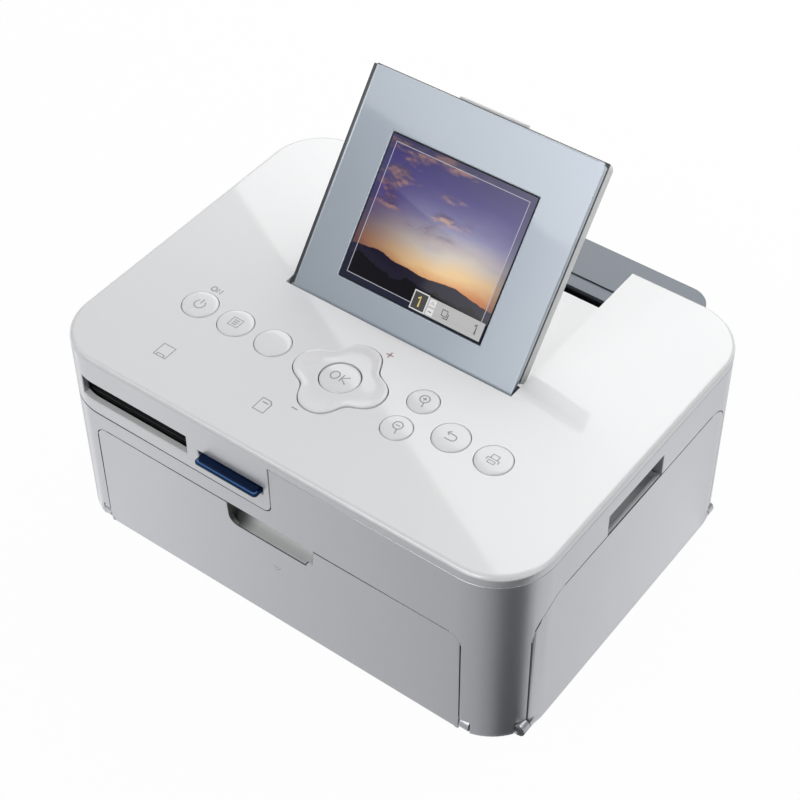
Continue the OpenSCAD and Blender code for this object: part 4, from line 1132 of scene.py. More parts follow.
@dataclass
class Casing:
    """The shells, doors and covers of the body, with their edges rounded as mouldings are."""

    shell_edge: float = 0.22 * MM
    door_edge: float = 0.2 * MM
    seam_edge: float = 0.42 * MM
    inner_edge: float = 0.15 * MM
    gap_top: float = 57.0 * MM
    gap_depth: float = 2.5 * MM
    gap_slope: float = 0.8
    skirt_depth: float = 6.0 * MM
    skirt_slope: float = 0.4
    pocket_depth: float = 0.7 * MM
    pocket_low: float = 32.0 * MM
    pocket_slope: float = -0.3
    skin: float = 0.06 * MM
    outline: BodyOutline = field(default_factory=BodyOutline)

    def build(self) -> None:
        """Builds every rounded casing piece."""
        gap = (GAP_SHADE, self.in_gap)
        SoftCopy("top_cover", self.shell_edge, seam=self.seam_edge, in_seam=self.on_skin,
                 others=((COVER_SKIRT, self.on_skirt),)).build()
        SoftCopy("body_shell", self.shell_edge, seam=self.shell_edge, in_seam=self.on_skin,
                 long_enough=0.0, others=(gap,)).build()
        SoftCopy("rear_cover", self.shell_edge).build()
        SoftCopy("bottom_case", self.inner_edge).build()
        for door in ("front_door", "ink_door"):
            SoftCopy(door, self.door_edge, seam=self.seam_edge, in_seam=self.on_skin,
                     others=((POCKET_PAINTED_LIGHT_AND_SHADE, self.in_pocket), gap)).build()
        for inner in ("cf_card_connector", "dc_inlet", "usb_socket", "rubber_feet"):
            SoftCopy(inner, self.inner_edge).build()

    def on_skin(self, point: Vector) -> bool:
        """Tells whether a point lies on the body's outer wall."""
        return self.outline.depth(point) < self.skin

    def look(self, face: Face) -> tuple[float, float, float]:
        """Describes where a face is.

        Args:
            face: The face.

        Returns:
            Its height, its depth behind the outer wall, and how far it looks outwards.
        """
        middle = face.calc_center_median()
        return (middle.z, self.outline.depth(middle),
                face.normal.dot(self.outline.outward(middle)))

    def on_skirt(self, face: Face) -> bool:
        """Tells whether a face of the cover belongs to its upright outer rim or apron."""
        return abs(face.normal.z) < self.skirt_slope and self.look(face)[1] < self.skirt_depth

    def in_gap(self, face: Face) -> bool:
        """Tells whether a face is a wall of the narrow gap round a door."""
        height, depth, outward = self.look(face)
        return height < self.gap_top and depth < self.gap_depth and abs(outward) < self.gap_slope

    def in_pocket(self, face: Face) -> bool:
        """Tells whether a face of a door belongs to the pocket behind its upper edge.

        Args:
            face: The face that is looked at.

        Returns:
            True when it lies deep and high enough and is turned outwards enough.
        """
        height, depth, outward = self.look(face)
        return (outward >= self.pocket_slope and depth > self.pocket_depth
                and height > self.pocket_low)


# ------------ keys


@dataclass
class RoundKey:
    """A round key on its stem, with a flange under the cover and a soft crown."""

    node: str
    flange_out: float = 1.0 * MM
    flange_t: float = 1.2 * MM
    stem_r: float = 2.0 * MM
    skirt_drop: float = 4.1 * MM
    edge: float = 0.55 * MM
    crown: float = 0.10 * MM
    crown_shares: tuple[float, ...] = (0.8, 0.6, 0.4, 0.2, 0)
    has_flange: bool = True

    def build(self) -> Object:
        """Builds the key inside its CAD node's box.

        Returns:
            The key.
        """
        low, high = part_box(self.node)
        outer_r = (high.x - low.x) / 2
        key_r = outer_r - self.flange_out if self.has_flange else outer_r
        top = high.z - self.crown
        skirt = max(low.z, high.z - self.skirt_drop)
        outline = [(0.0, low.z), (self.stem_r, low.z), (self.stem_r, skirt), (outer_r, skirt)]
        if self.has_flange:
            outline += [(outer_r, skirt + self.flange_t), (key_r, skirt + self.flange_t)]
        outline += quarter(key_r, top, self.edge)
        shoulder = key_r - self.edge
        outline += [(shoulder * s, top + self.crown * (1 - s * s)) for s in self.crown_shares]
        middle = top_middle(self.node)
        return stand_in(turned(outline, Vector((middle.x, middle.y, 0.0))), self.node, "_cap")


@dataclass
class DirectionPad:
    """The four-lobed rocker round the centre key, dished between its lobes."""

    node: str = "direction_pad"
    hub: str = "ok_key"
    waist: float = 4.2 * MM
    side: float = 0.3 * MM
    hub_gap: float = 0.35 * MM
    points: int = 144
    edge: float = 0.28 * MM
    edge_steps: int = 4
    dish: float = 0.07 * MM
    dish_steps: int = 10
    dish_reach: float = 1.08
    dish_power: float = 1.5

    def build(self) -> Object:
        """Builds the pad inside its CAD node's box, rim by rim.

        Returns:
            The pad.
        """
        low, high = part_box(self.node)
        hub_low, hub_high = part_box(self.hub)
        hole = (hub_high.x - hub_low.x) / 2 + self.hub_gap
        rims = [(inset, 0.0, height) for inset, height in self.section(low.z, high.z)]
        rims += [(self.edge, share, high.z - drop) for share, drop in self.dish_section()]
        rims.append((self.edge, 1.0, low.z))
        bm = bmesh.new()
        first = rim = bmesh.ops.create_circle(bm, segments=self.points)["verts"]
        for index, (inset, share, height) in enumerate(rims):
            rim = self.grown(bm, rim) if index else first
            self.shape(rim, inset, share, hole, height)
        bmesh.ops.bridge_loops(bm, edges=self.rim_edges(bm, rim) + self.rim_edges(bm, first))
        bmesh.ops.recalc_face_normals(bm, faces=bm.faces)
        return stand_in(bm, self.node, "_cap")

    def outline(self, angle: float, reach: float) -> float:
        """Returns the pad's radius at an angle, four lobes with soft waists."""
        return (reach + self.side - self.waist / 2 * (1 - math.cos(4 * angle))
                - self.side * math.cos(8 * angle))

    def section(self, low: float, high: float) -> list[Point]:
        """Draws the outer side.

        Args:
            low: Height of the pad's underside.
            high: Height of its top.

        Returns:
            Insets and heights, from the bottom to the end of the rounded edge.
        """
        turns = [math.pi / 2 * i / self.edge_steps for i in range(self.edge_steps + 1)]
        return [(0.0, low)] + [(self.edge * (1 - math.cos(a)),
                                high - self.edge * (1 - math.sin(a))) for a in turns]

    def dish_section(self) -> list[Point]:
        """Draws the dished top.

        Returns:
            Shares of the way to the hub, and how far the top drops below the rim there.
        """
        shares = [i / self.dish_steps for i in range(1, self.dish_steps + 1)]
        waves = [math.sin(math.pi * min(1.0, s * self.dish_reach)) for s in shares]
        return [(s, self.dish * wave ** self.dish_power) for s, wave in zip(shares, waves)]

    def shape(self, rim: list[Vert], inset: float, share: float, hole: float,
              height: float) -> None:
        """Moves a rim to its place.

        Args:
            rim: The rim's points, from the right round.
            inset: How far the rim lies inside the pad's outline.
            share: How far it has gone from there to the hole.
            hole: Radius of the hole round the hub.
            height: The rim's height.
        """
        middle = top_middle(self.node)
        low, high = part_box(self.node)
        for i, vert in enumerate(rim):
            angle = math.tau * i / self.points
            r = (self.outline(angle, (high.x - low.x) / 2) - inset) * (1 - share) + hole * share
            vert.co = (middle.x + r * math.cos(angle), middle.y + r * math.sin(angle), height)

    def grown(self, bm: Mesh, rim: list[Vert]) -> list[Vert]:
        """Extrudes a rim.

        Args:
            bm: The mesh.
            rim: The rim's points.

        Returns:
            The new rim's points, in the same order.
        """
        made = bmesh.ops.extrude_edge_only(bm, edges=self.rim_edges(bm, rim))["geom"]
        fresh = {item for item in made if isinstance(item, Vert)}
        return [next(e.other_vert(v) for e in v.link_edges if e.other_vert(v) in fresh)
                for v in rim]

    def rim_edges(self, bm: Mesh, rim: list[Vert]) -> list[Edge]:
        """Returns the edges between neighbouring points of a rim."""
        return [bm.edges.get(pair) for pair in zip(rim, rim[1:] + rim[:1])]


@dataclass
class KeyField:
    """All keys on the top cover."""

    round_keys: tuple[str, ...] = ("power_key", "menu_key", "edit_key", "zoom_in_key",
                                   "zoom_out_key", "back_key", "print_key")

    def build(self) -> None:
        """Builds the round keys, the centre key and the pad."""
        for node in self.round_keys:
            RoundKey(node).build()
        RoundKey("ok_key", has_flange=False, skirt_drop=4.3 * MM, crown=0.25 * MM).build()
        DirectionPad().build()


# ------------ printed marks


def arc(cx: float, cy: float, r: float, start: float, end: float, steps: int = 16) -> list[Point]:
    """Returns points of an arc; angles are in degrees, anticlockwise from the right."""
    turns = [math.radians(start + (end - start) * i / steps) for i in range(steps + 1)]
    return [(cx + r * math.cos(a), cy + r * math.sin(a)) for a in turns]


def ellipse(cx: float, cy: float, rx: float, ry: float, steps: int = 24) -> list[Point]:
    """Returns the closed outline of an ellipse."""
    turns = [math.tau * i / steps for i in range(steps + 1)]
    return [(cx + rx * math.cos(a), cy + ry * math.sin(a)) for a in turns]


def box_outline(w: float, h: float, cut: float = 0.0) -> list[Point]:
    """Returns a closed rectangle about the origin, with its upper right corner cut off."""
    x, y = w / 2, h / 2
    return [(-x, -y), (x, -y), (x, y - cut), (x - cut, y), (-x, y), (-x, -y)]


class Glyph(Enum):
    """Plain line marks as strokes, in millimetres about the mark's middle."""

    POWER = (arc(0, -0.2, 1.9, 125, 415), [(0, 2.3), (0, 0.1)])
    MENU = (box_outline(3.8, 3.8), [(-1.0, 0.9), (1.0, 0.9)], [(-1.0, 0.0), (1.0, 0.0)],
            [(-1.0, -0.9), (1.0, -0.9)])
    ZOOM_IN = (ellipse(0, 0.8, 1.6, 1.6), [(0.6, -0.8), (1.1, -2.6)],
               [(-0.8, 0.8), (0.8, 0.8)], [(0, 0.0), (0, 1.6)])
    ZOOM_OUT = (ellipse(0, 0.8, 1.6, 1.6), [(0.6, -0.8), (1.1, -2.6)],
                [(-0.8, 0.8), (0.8, 0.8)])
    RETURN = ([(-1.9, 1.1), (0.6, 1.1)] + arc(0.6, -0.2, 1.3, 90, -90) + [(-1.6, -1.5)],
              [(-1.0, 2.0), (-1.9, 1.1), (-1.0, 0.2)])
    PRINT = ([(-2.1, -1.1), (-2.1, 0.0), (2.1, 0.0), (2.1, -1.1)],
             [(-1.2, 0.0), (-1.2, 1.8), (1.2, 1.8), (1.2, 0.0)],
             [(-1.2, -0.9), (-1.2, -2.0), (1.2, -2.0), (1.2, -0.9), (-1.2, -0.9)])
    OK = (ellipse(-1.9, 0, 1.45, 1.7), [(0.7, 1.7), (0.7, -1.7)],
          [(2.9, 1.7), (0.8, -0.2), (3.0, -1.7)])
    ON = (ellipse(-1.2, 0, 0.85, 1.0), [(0.3, -1.0), (0.3, 1.0), (1.7, -1.0), (1.7, 1.0)])
    UP = ([(-0.9, -0.5), (0, 0.6), (0.9, -0.5), (-0.9, -0.5)],)
    DOWN = ([(-1.3, 0.7), (0, -0.9), (1.3, 0.7), (-1.3, 0.7)],)
    PLUS = ([(-1.3, 0), (1.3, 0)], [(0, -1.3), (0, 1.3)])
    MINUS = ([(-1.1, 0), (1.1, 0)],)
    WIDE_CARD = (box_outline(4.6, 5.2), [(-1.3, -2.6), (-1.3, -1.6), (1.3, -1.6), (1.3, -2.6)])
    SMALL_CARD = (box_outline(4.0, 5.2, 1.1), [(-1.1, 1.2), (1.1, 1.2)])
    ONE = ([(-0.55, 0.75), (0.05, 1.3), (0.05, -1.3)],)
    COPIES = (box_outline(1.7, 1.7), [(1.3, 0.2), (1.3, -1.4), (-0.3, -1.4)])


@dataclass
class Mark:
    """A glyph printed or moulded on a surface, as thin flattened lines."""

    name: str
    glyph: Glyph
    place: Matrix
    body: str
    finish: Finish = MARK_GREY
    slot: str = "dark_plastic"
    line: float = 0.32 * MM
    scale: float = 1.0
    lift: float = 0.03 * MM
    same_point: float = 1e-6

    def build(self) -> Object:
        """Draws the strokes as tubes and presses them flat onto the surface.

        Returns:
            The mark.
        """
        curve = bpy.data.curves.new(self.name + "_lines", "CURVE")
        curve.dimensions = "3D"
        curve.bevel_depth = self.line / 2
        curve.bevel_resolution = 1
        curve.use_fill_caps = True
        for stroke in self.glyph.value:
            self.add_stroke(curve, stroke)
        carrier = bpy.data.objects.new(self.name + "_lines", curve)
        bm = bmesh.new()
        bm.from_mesh(carrier.to_mesh())
        carrier.to_mesh_clear()
        bpy.data.objects.remove(carrier)
        bpy.data.curves.remove(curve)
        flatten = Matrix.Diagonal((1.0, 1.0, 2 * self.lift / self.line, 1.0))
        bmesh.ops.transform(bm, matrix=self.place @ flatten, verts=bm.verts)
        return book(bm, Tag(self.name, self.body, self.slot, self.finish))

    def add_stroke(self, curve: bpy.types.Curve, stroke: Sequence[Point]) -> None:
        """Adds one stroke as a poly line, closed where its ends meet.

        Args:
            curve: The glyph's curve.
            stroke: The stroke's points, in millimetres.
        """
        closed = math.dist(stroke[0], stroke[-1]) < self.same_point
        points = stroke[:-1] if closed else stroke
        line = curve.splines.new("POLY")
        line.points.add(len(points) - 1)
        line.use_cyclic_u = closed
        for point, (x, y) in zip(line.points, points):
            point.co = (x * MM * self.scale, y * MM * self.scale, 0.0, 1.0)


@dataclass
class PrintedMarks:
    """The plain marks on the keys, the cover and the paper door.

    A mark beside a CAD node is given by the node and its distance from the node's middle.
    """

    key_line: float = 0.42 * MM
    cover_line: float = 0.5 * MM
    card_mark_y: float = -54.4 * MM
    on_mark_up: float = 8.2 * MM
    pad_mark_out: float = 18.6 * MM
    plus_shares: Point = (0.45, 1.30)
    minus_shares: Point = (-0.25, -1.35)
    pull_mark: Point = (2.0 * MM, 27.5 * MM)
    key_scale: float = 0.95

    def build(self) -> None:
        """Builds every mark on what carries it."""
        on_keys = {"power_key": Glyph.POWER, "menu_key": Glyph.MENU, "zoom_in_key": Glyph.ZOOM_IN,
                   "zoom_out_key": Glyph.ZOOM_OUT, "back_key": Glyph.RETURN,
                   "print_key": Glyph.PRINT, "ok_key": Glyph.OK}
        for node, glyph in on_keys.items():
            Mark(node + "_mark", glyph, Matrix.Translation(top_middle(node)), node_body(node),
                 scale=self.key_scale, line=self.key_line).build()
        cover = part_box("top_cover")[1].z
        power, pad = top_middle("power_key"), top_middle("direction_pad")
        corner = self.pad_mark_out * math.sqrt(0.5)
        plus_x, plus_y = (corner * share for share in self.plus_shares)
        minus_x, minus_y = (corner * share for share in self.minus_shares)
        spots = {
            "on_mark": (Glyph.ON, (power.x, power.y + self.on_mark_up), MARK_GREY),
            "more_mark": (Glyph.PLUS, (pad.x + plus_x, pad.y + plus_y), MARK_ROSE),
            "fewer_mark": (Glyph.MINUS, (pad.x + minus_x, pad.y + minus_y), MARK_GREY),
            "wide_card_mark": (Glyph.WIDE_CARD,
                               (top_middle("cf_card_connector").x, self.card_mark_y), MARK_GREY),
            "small_card_mark": (Glyph.SMALL_CARD,
                                (top_middle("memory_card").x, self.card_mark_y), MARK_GREY),
        }
        for name, (glyph, spot, finish) in spots.items():
            Mark(name, glyph, Matrix.Translation((*spot, cover)), "casing", finish,
                 line=self.cover_line).build()
        x, z = self.pull_mark
        front = Matrix.Translation((x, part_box("front_door")[0].y, z))
        Mark("pull_mark", Glyph.DOWN, front @ Matrix.Rotation(math.pi / 2, 4, "X"),
             node_body("front_door"), MARK_SILVER, "shell_grey", self.key_line).build()


# ------------ display


@dataclass
class DisplayPanel:
    """The tilting display: bezel, dark seam, back shell, picture and what it shows."""

    face_rise: float = 3.5 * MM
    bezel_t: float = 2.2 * MM
    bezel_edge: float = 0.38 * MM
    seam_low: float = 4.2 * MM
    seam_h: float = 1.0 * MM
    seam_out: Point = (0.45 * MM, 0.12 * MM)
    trim_low: float = 0.6 * MM
    trim_short: float = 0.12 * MM
    trim_out: float = 0.3 * MM
    trim_in: float = 0.85 * MM
    highlight_w: float = 0.5 * MM
    frame_inset: float = 2.1 * MM
    line: float = 0.22 * MM
    lift: float = 0.03 * MM
    bar_inset: float = 0.6 * MM
    bar_share: Point = (0.50, 0.135)
    counter_w: float = 0.95
    counter_rise: float = 0.25 * MM
    counter_rim: float = 0.35 * MM
    arrow_at: Point = (0.30, 0.24)
    arrow_half: Point = (0.20, 0.19)
    copies_at: Point = (0.85, 0.3 * MM)
    total_in: float = 0.42
    joint: dict = field(default_factory=lambda: next(
        j for j in frame["joints"] if j["name"] == "display_tilt"))

    def build(self) -> None:
        """Builds the panel's shells, its picture and the marks on the screen."""
        SoftCopy("lcd_bezel", 0.1 * MM, seam=self.bezel_edge, in_seam=lambda point: True).build()
        SoftCopy("lcd_back_shell", 0.3 * MM, PANEL_WHITE).build()
        SoftCopy("lcd_hinge_barrel", 0.15 * MM).build()
        self.dark_seam()
        self.side_trim()
        self.picture()
        self.crop_frame()
        self.status_bar()

    @property
    def tilt(self) -> float:
        """The panel's angle above the horizontal at rest, in radians."""
        return math.radians(-self.joint["range_deg"][0])

    def to_row(self, x: float = 0.0, y: float = 0.0, z: float = 0.0) -> Matrix:
        """Returns the matrix of a place on the panel: across, up from the hinge, out of it."""
        hinge = Matrix.Translation(self.joint["pos_m"])
        return hinge @ Matrix.Rotation(self.tilt, 4, "X") @ Matrix.Translation((x, y, z))

    def on_panel(self, node: str) -> tuple[Vector, Vector]:
        """Measures a node along the panel's own axes.

        Args:
            node: The node.

        Returns:
            Its lowest and highest corners on those axes.
        """
        back = self.to_row().inverted()
        points = [back @ v.co for v in frame["nodes"][node].data.vertices]
        return (Vector([min(p[i] for p in points) for i in range(3)]),
                Vector([max(p[i] for p in points) for i in range(3)]))

    def add(self, name: str, low: Sequence[float], high: Sequence[float], finish: Finish,
            slot: str = "screen_glass", edge: float = 0.0,
            stands_for: tuple[str, ...] = ()) -> Object:
        """Adds a slab that is drawn in the panel's own axes.

        Args:
            name: The piece's name.
            low: Its lowest corner.
            high: Its highest corner.
            finish: Its finish.
            slot: The record's slot.
            edge: Radius of its edges.
            stands_for: CAD nodes that it replaces.

        Returns:
            The piece.
        """
        bm = slab(Vector(low), Vector(high), edge)
        bmesh.ops.transform(bm, matrix=self.to_row(), verts=bm.verts)
        return book(bm, Tag(name, "display", slot, finish, stands_for))

    def dark_seam(self) -> None:
        """Builds the dark line between the bezel and the back shell."""
        low, high = self.on_panel("lcd_bezel")
        top = self.face_rise - self.bezel_t
        self.add("display_seam", (low.x - self.seam_out[0], self.seam_low, top - self.seam_h),
                 (high.x, high.y + self.seam_out[1], top + 0.02 * MM),
                 DARK_PLASTIC, "dark_plastic", 0.1 * MM)

    def side_trim(self) -> None:
        """Builds the dark trim that closes the bezel's left side and, next to it, a silver strip
        that is the bezel edge's painted highlight.
        """
        low, high = self.on_panel("lcd_bezel")
        inner, top = low.x + self.trim_in, high.y - self.trim_short
        for name, x0, x1, rise, finish, slot, edge in (
                ("display_trim", low.x - self.trim_out, inner, 0.05 * MM, TRIM_DARK,
                 "dark_plastic", 0.06 * MM),
                # A silver strip painted as the highlight of the bezel's edge.
                ("display_painted_highlight", inner, inner + self.highlight_w, 0.04 * MM, PAINTED_HIGHLIGHT_SILVER,
                 "bezel_silver", 0.03 * MM)):
            self.add(name, (x0, self.trim_low, self.face_rise - self.bezel_t),
                     (x1, top, self.face_rise + rise), finish, slot, edge)

    def picture(self) -> None:
        """Builds the screen's window with its picture."""
        low, high = self.on_panel("lcd_window")
        middle = self.to_row() @ ((low + high) / 2)
        finish = DuskPicture("dusk_picture", (0.02, 0.02, 0.03), specular=0.3,
                             centre=tuple(middle), size=(high.x - low.x, high.y - low.y),
                             tilt=self.tilt, crop=self.frame_inset)
        self.add("screen_window", low, high, finish, edge=0.12 * MM, stands_for=("lcd_window",))

    def crop_frame(self) -> None:
        """Builds the thin light frame that marks the print's edge on the screen."""
        low, high = self.on_panel("lcd_window")
        inset = Vector((self.frame_inset, self.frame_inset, 0))
        a, b = low + inset, high - inset
        w, bottom, top = self.line, high.z - self.lift, high.z + self.lift
        bars = {"left": (a.x, a.y, a.x + w, b.y), "right": (b.x - w, a.y, b.x, b.y),
                "lower": (a.x, a.y, b.x, a.y + w), "upper": (a.x, b.y - w, b.x, b.y)}
        for side, (x0, y0, x1, y1) in bars.items():
            self.add("crop_line_" + side, (x0, y0, bottom), (x1, y1, top), SCREEN_FRAME)

    def status_bar(self) -> None:
        """Builds the grey bar at the lower right with its counter and marks."""
        low, high = self.on_panel("lcd_window")
        left = low.x + (high.x - low.x) * self.bar_share[0]
        right, bottom = high.x - self.bar_inset, low.y + self.bar_inset
        top = low.y + (high.y - low.y) * self.bar_share[1]
        bar_h, middle = top - bottom, (bottom + top) / 2
        counter, crown = left + bar_h * self.counter_w, top + self.counter_rise
        rim = self.counter_rim
        arrow_x = left + bar_h * (self.counter_w + self.arrow_at[0])
        upper, lower = (middle + side * bar_h * self.arrow_at[1] for side in (1, -1))
        half_w, half_h = (bar_h * share for share in self.arrow_half)
        for name, x0, x1, y0, y1, below, above, finish in (
                ("status_bar", left, right, bottom, top, 1.0, 1.0, SCREEN_BAR),
                ("counter_edge", left, counter, bottom, crown, 0.0, 1.5, SCREEN_WHITE),
                ("counter_field", left + rim, counter - rim, bottom + rim, crown - rim, 0.0, 2.0,
                 SCREEN_DARK),
                ("more_field", arrow_x - half_w, arrow_x + half_w, upper - half_h, upper + half_h,
                 0.0, 1.5, SCREEN_WHITE),
                ("fewer_field", arrow_x - half_w, arrow_x + half_w, lower - half_h,
                 lower + half_h, 0.0, 1.5, SCREEN_WHITE)):
            self.add(name, (x0, y0, high.z - below * self.lift),
                     (x1, y1, high.z + above * self.lift), finish)
        for name, glyph, x, y, finish, scale, line in (
                ("counter_one", Glyph.ONE, (left + counter) / 2, middle, SCREEN_AMBER, 1.25, 0.55),
                ("more_arrow", Glyph.UP, arrow_x, upper, SCREEN_BLACK, 0.7, 0.2),
                ("fewer_arrow", Glyph.MINUS, arrow_x, lower, SCREEN_BLACK, 0.55, 0.25),
                ("copies_mark", Glyph.COPIES, arrow_x + bar_h * self.copies_at[0],
                 middle + self.copies_at[1], SCREEN_BLACK, 1.1, 0.3),
                ("copies_one", Glyph.ONE, right - bar_h * self.total_in, middle, SCREEN_BLACK,
                 1.2, 0.5)):
            Mark(name, glyph, self.to_row(x, y, high.z + 2 * self.lift), "display", finish,
                 "screen_glass", line * MM, scale).build()


# ------------ memory card


@dataclass
class MemoryCard:
    """The card in the smaller slot: a base, a narrower dark shell and a parting rib whose bright
    blue is a painted highlight.
    """

    node: str = "memory_card"
    base_t: float = 0.8 * MM
    shell_in: float = 0.8 * MM
    step_back: float = 0.75 * MM
    rib_t: float = 0.38 * MM
    rib_in: float = 0.5 * MM
    rib_reach: Point = (0.42 * MM, 2.4 * MM)
    rib_sink: float = 0.1 * MM
    corner: float = 1.2 * MM
    rib_corner: float = 0.8 * MM
    edge: float = 0.14 * MM

    def build(self) -> Object:
        """Builds the card inside its CAD node's box.

        Returns:
            The card.
        """
        low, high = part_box(self.node)
        parting = low.z + self.base_t
        layers = (
            (low, (high.x, high.y, parting), self.corner),
            ((low.x + self.shell_in, low.y + self.step_back, low.z + self.edge),
             (high.x - self.shell_in, high.y - self.shell_in, high.z), self.corner),
            ((low.x + self.rib_in, low.y + self.rib_reach[0], parting - self.rib_sink),
             (high.x - self.rib_in, low.y + self.rib_reach[1], parting + self.rib_t),
             self.rib_corner),
        )
        bm = bmesh.new()
        for index, (a, b, corner) in enumerate(layers):
            self.add_layer(bm, Vector(a), Vector(b), corner, index)
        return stand_in(bm, self.node, "_shell", more=(CARD_NAVY, CARD_PAINTED_HIGHLIGHT))

    def add_layer(self, bm: Mesh, low: Vector, high: Vector, corner: float, index: int) -> None:
        """Adds a plate with round upright corners.

        Args:
            bm: The card's mesh, which takes the plate.
            low: The plate's lowest corner.
            high: Its highest corner.
            corner: Radius of its upright corners.
            index: Number of its finish.
        """
        part = slab(low, high, 0.0)
        upright = [e for e in part.edges
                   if abs(e.verts[0].co.z - e.verts[1].co.z) > (high.z - low.z) / 2]
        round_off(part, upright, corner, 3)
        round_off(part, sharp_edges(part, lambda point: True), self.edge, 2)
        for face in part.faces:
            face.material_index = index
        mesh = to_mesh(part, "card_layer")
        bm.from_mesh(mesh)
        bpy.data.meshes.remove(mesh)


# ------------ carried nodes


@dataclass
class CarriedNodes:
    """The CAD nodes whose shape is right as it is; they only take their finish."""

    def dress(self) -> None:
        """Gives every node the finish of its slot."""
        for name, node in frame["nodes"].items():
            finish = SLOT_FINISHES[node_slot(name)]
            node.data.materials.clear()
            node.data.materials.append(finish.material())
            log.info("%s: %s", name, finish.name)


# ------------ studio


def facing(at: Vector, way: Vector, roll: float) -> Matrix:
    """Places a lamp or a camera.

    Args:
        at: Where it stands.
        way: The direction that it looks in.
        roll: How far it is turned about that direction, in degrees.

    Returns:
        Its matrix.
    """
    turn = way.to_track_quat("-Z", "Y").to_matrix().to_4x4()
    return Matrix.Translation(at) @ turn @ Matrix.Rotation(math.radians(roll), 4, "Z")


@dataclass
class Softbox:
    """A rectangular lamp that faces a point on the object."""

    name: str
    at: Place
    aim: Place
    size: Point
    power: float
    roll: float = 0.0
    color: Colour = (1.0, 1.0, 1.0)

    def build(self) -> Object:
        """Builds the lamp.

        Returns:
            The lamp's object.
        """
        light = bpy.data.lights.new(self.name, "AREA")
        light.shape = "RECTANGLE"
        light.size, light.size_y = self.size
        light.energy = self.power
        light.color = self.color
        lamp = add_object(self.name, light)
        at = Vector(self.at)
        lamp.matrix_world = facing(at, Vector(self.aim) - at, self.roll)
        return lamp


Rung = tuple[Vector, Vector, float]


@dataclass
class ReflectionStrip:
    """A card beside the object that only its reflections show, dark or bright from rung to rung.

    Each rung holds one edge's point, the other edge's point and how bright the card is there.
    """

    name: str
    rungs: Sequence[Rung]

    def build(self) -> Object:
        """Builds the card.

        Returns:
            The card's object.
        """
        bm = bmesh.new()
        glow = bm.verts.layers.float.new("glow")
        rows = []
        for near, far, level in self.rungs:
            pair = (bm.verts.new(near), bm.verts.new(far))
            for vert in pair:
                vert[glow] = level
            rows.append(pair)
        for (a, b), (c, d) in zip(rows, rows[1:]):
            bm.faces.new((a, b, d, c))
        mesh = to_mesh(bm, self.name)
        mesh.materials.append(self.material())
        card = add_object(self.name, mesh)
        for ray in ("camera", "diffuse", "shadow", "transmission", "volume_scatter"):
            setattr(card, "visible_" + ray, False)
        card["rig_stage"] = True
        return card

    def material(self) -> bpy.types.Material:
        """Finds or builds the cards' shared material, which glows as its points say.

        Returns:
            The material.
        """
        found = bpy.data.materials.get("studio_card")
        if found:
            return found
        made, graph = new_material("studio_card")
        level = graph.node("ShaderNodeAttribute", attribute_name="glow").outputs["Fac"]
        glow = graph.node("ShaderNodeEmission")
        graph.feed(glow.inputs["Strength"], level)
        graph.surface(glow.outputs[0])
        return made


def between(stops: Sequence[Point], place: float) -> float:
    """Returns a level between stops.

    Args:
        stops: Places and their levels, in order.
        place: Where the level is wanted.

    Returns:
        The level, even beyond the first and the last stop.
    """
    if place <= stops[0][0]:
        return stops[0][1]
    for (a, low), (b, high) in zip(stops, stops[1:]):
        if place <= b:
            return low + (high - low) * (place - a) / (b - a)
    return stops[-1][1]


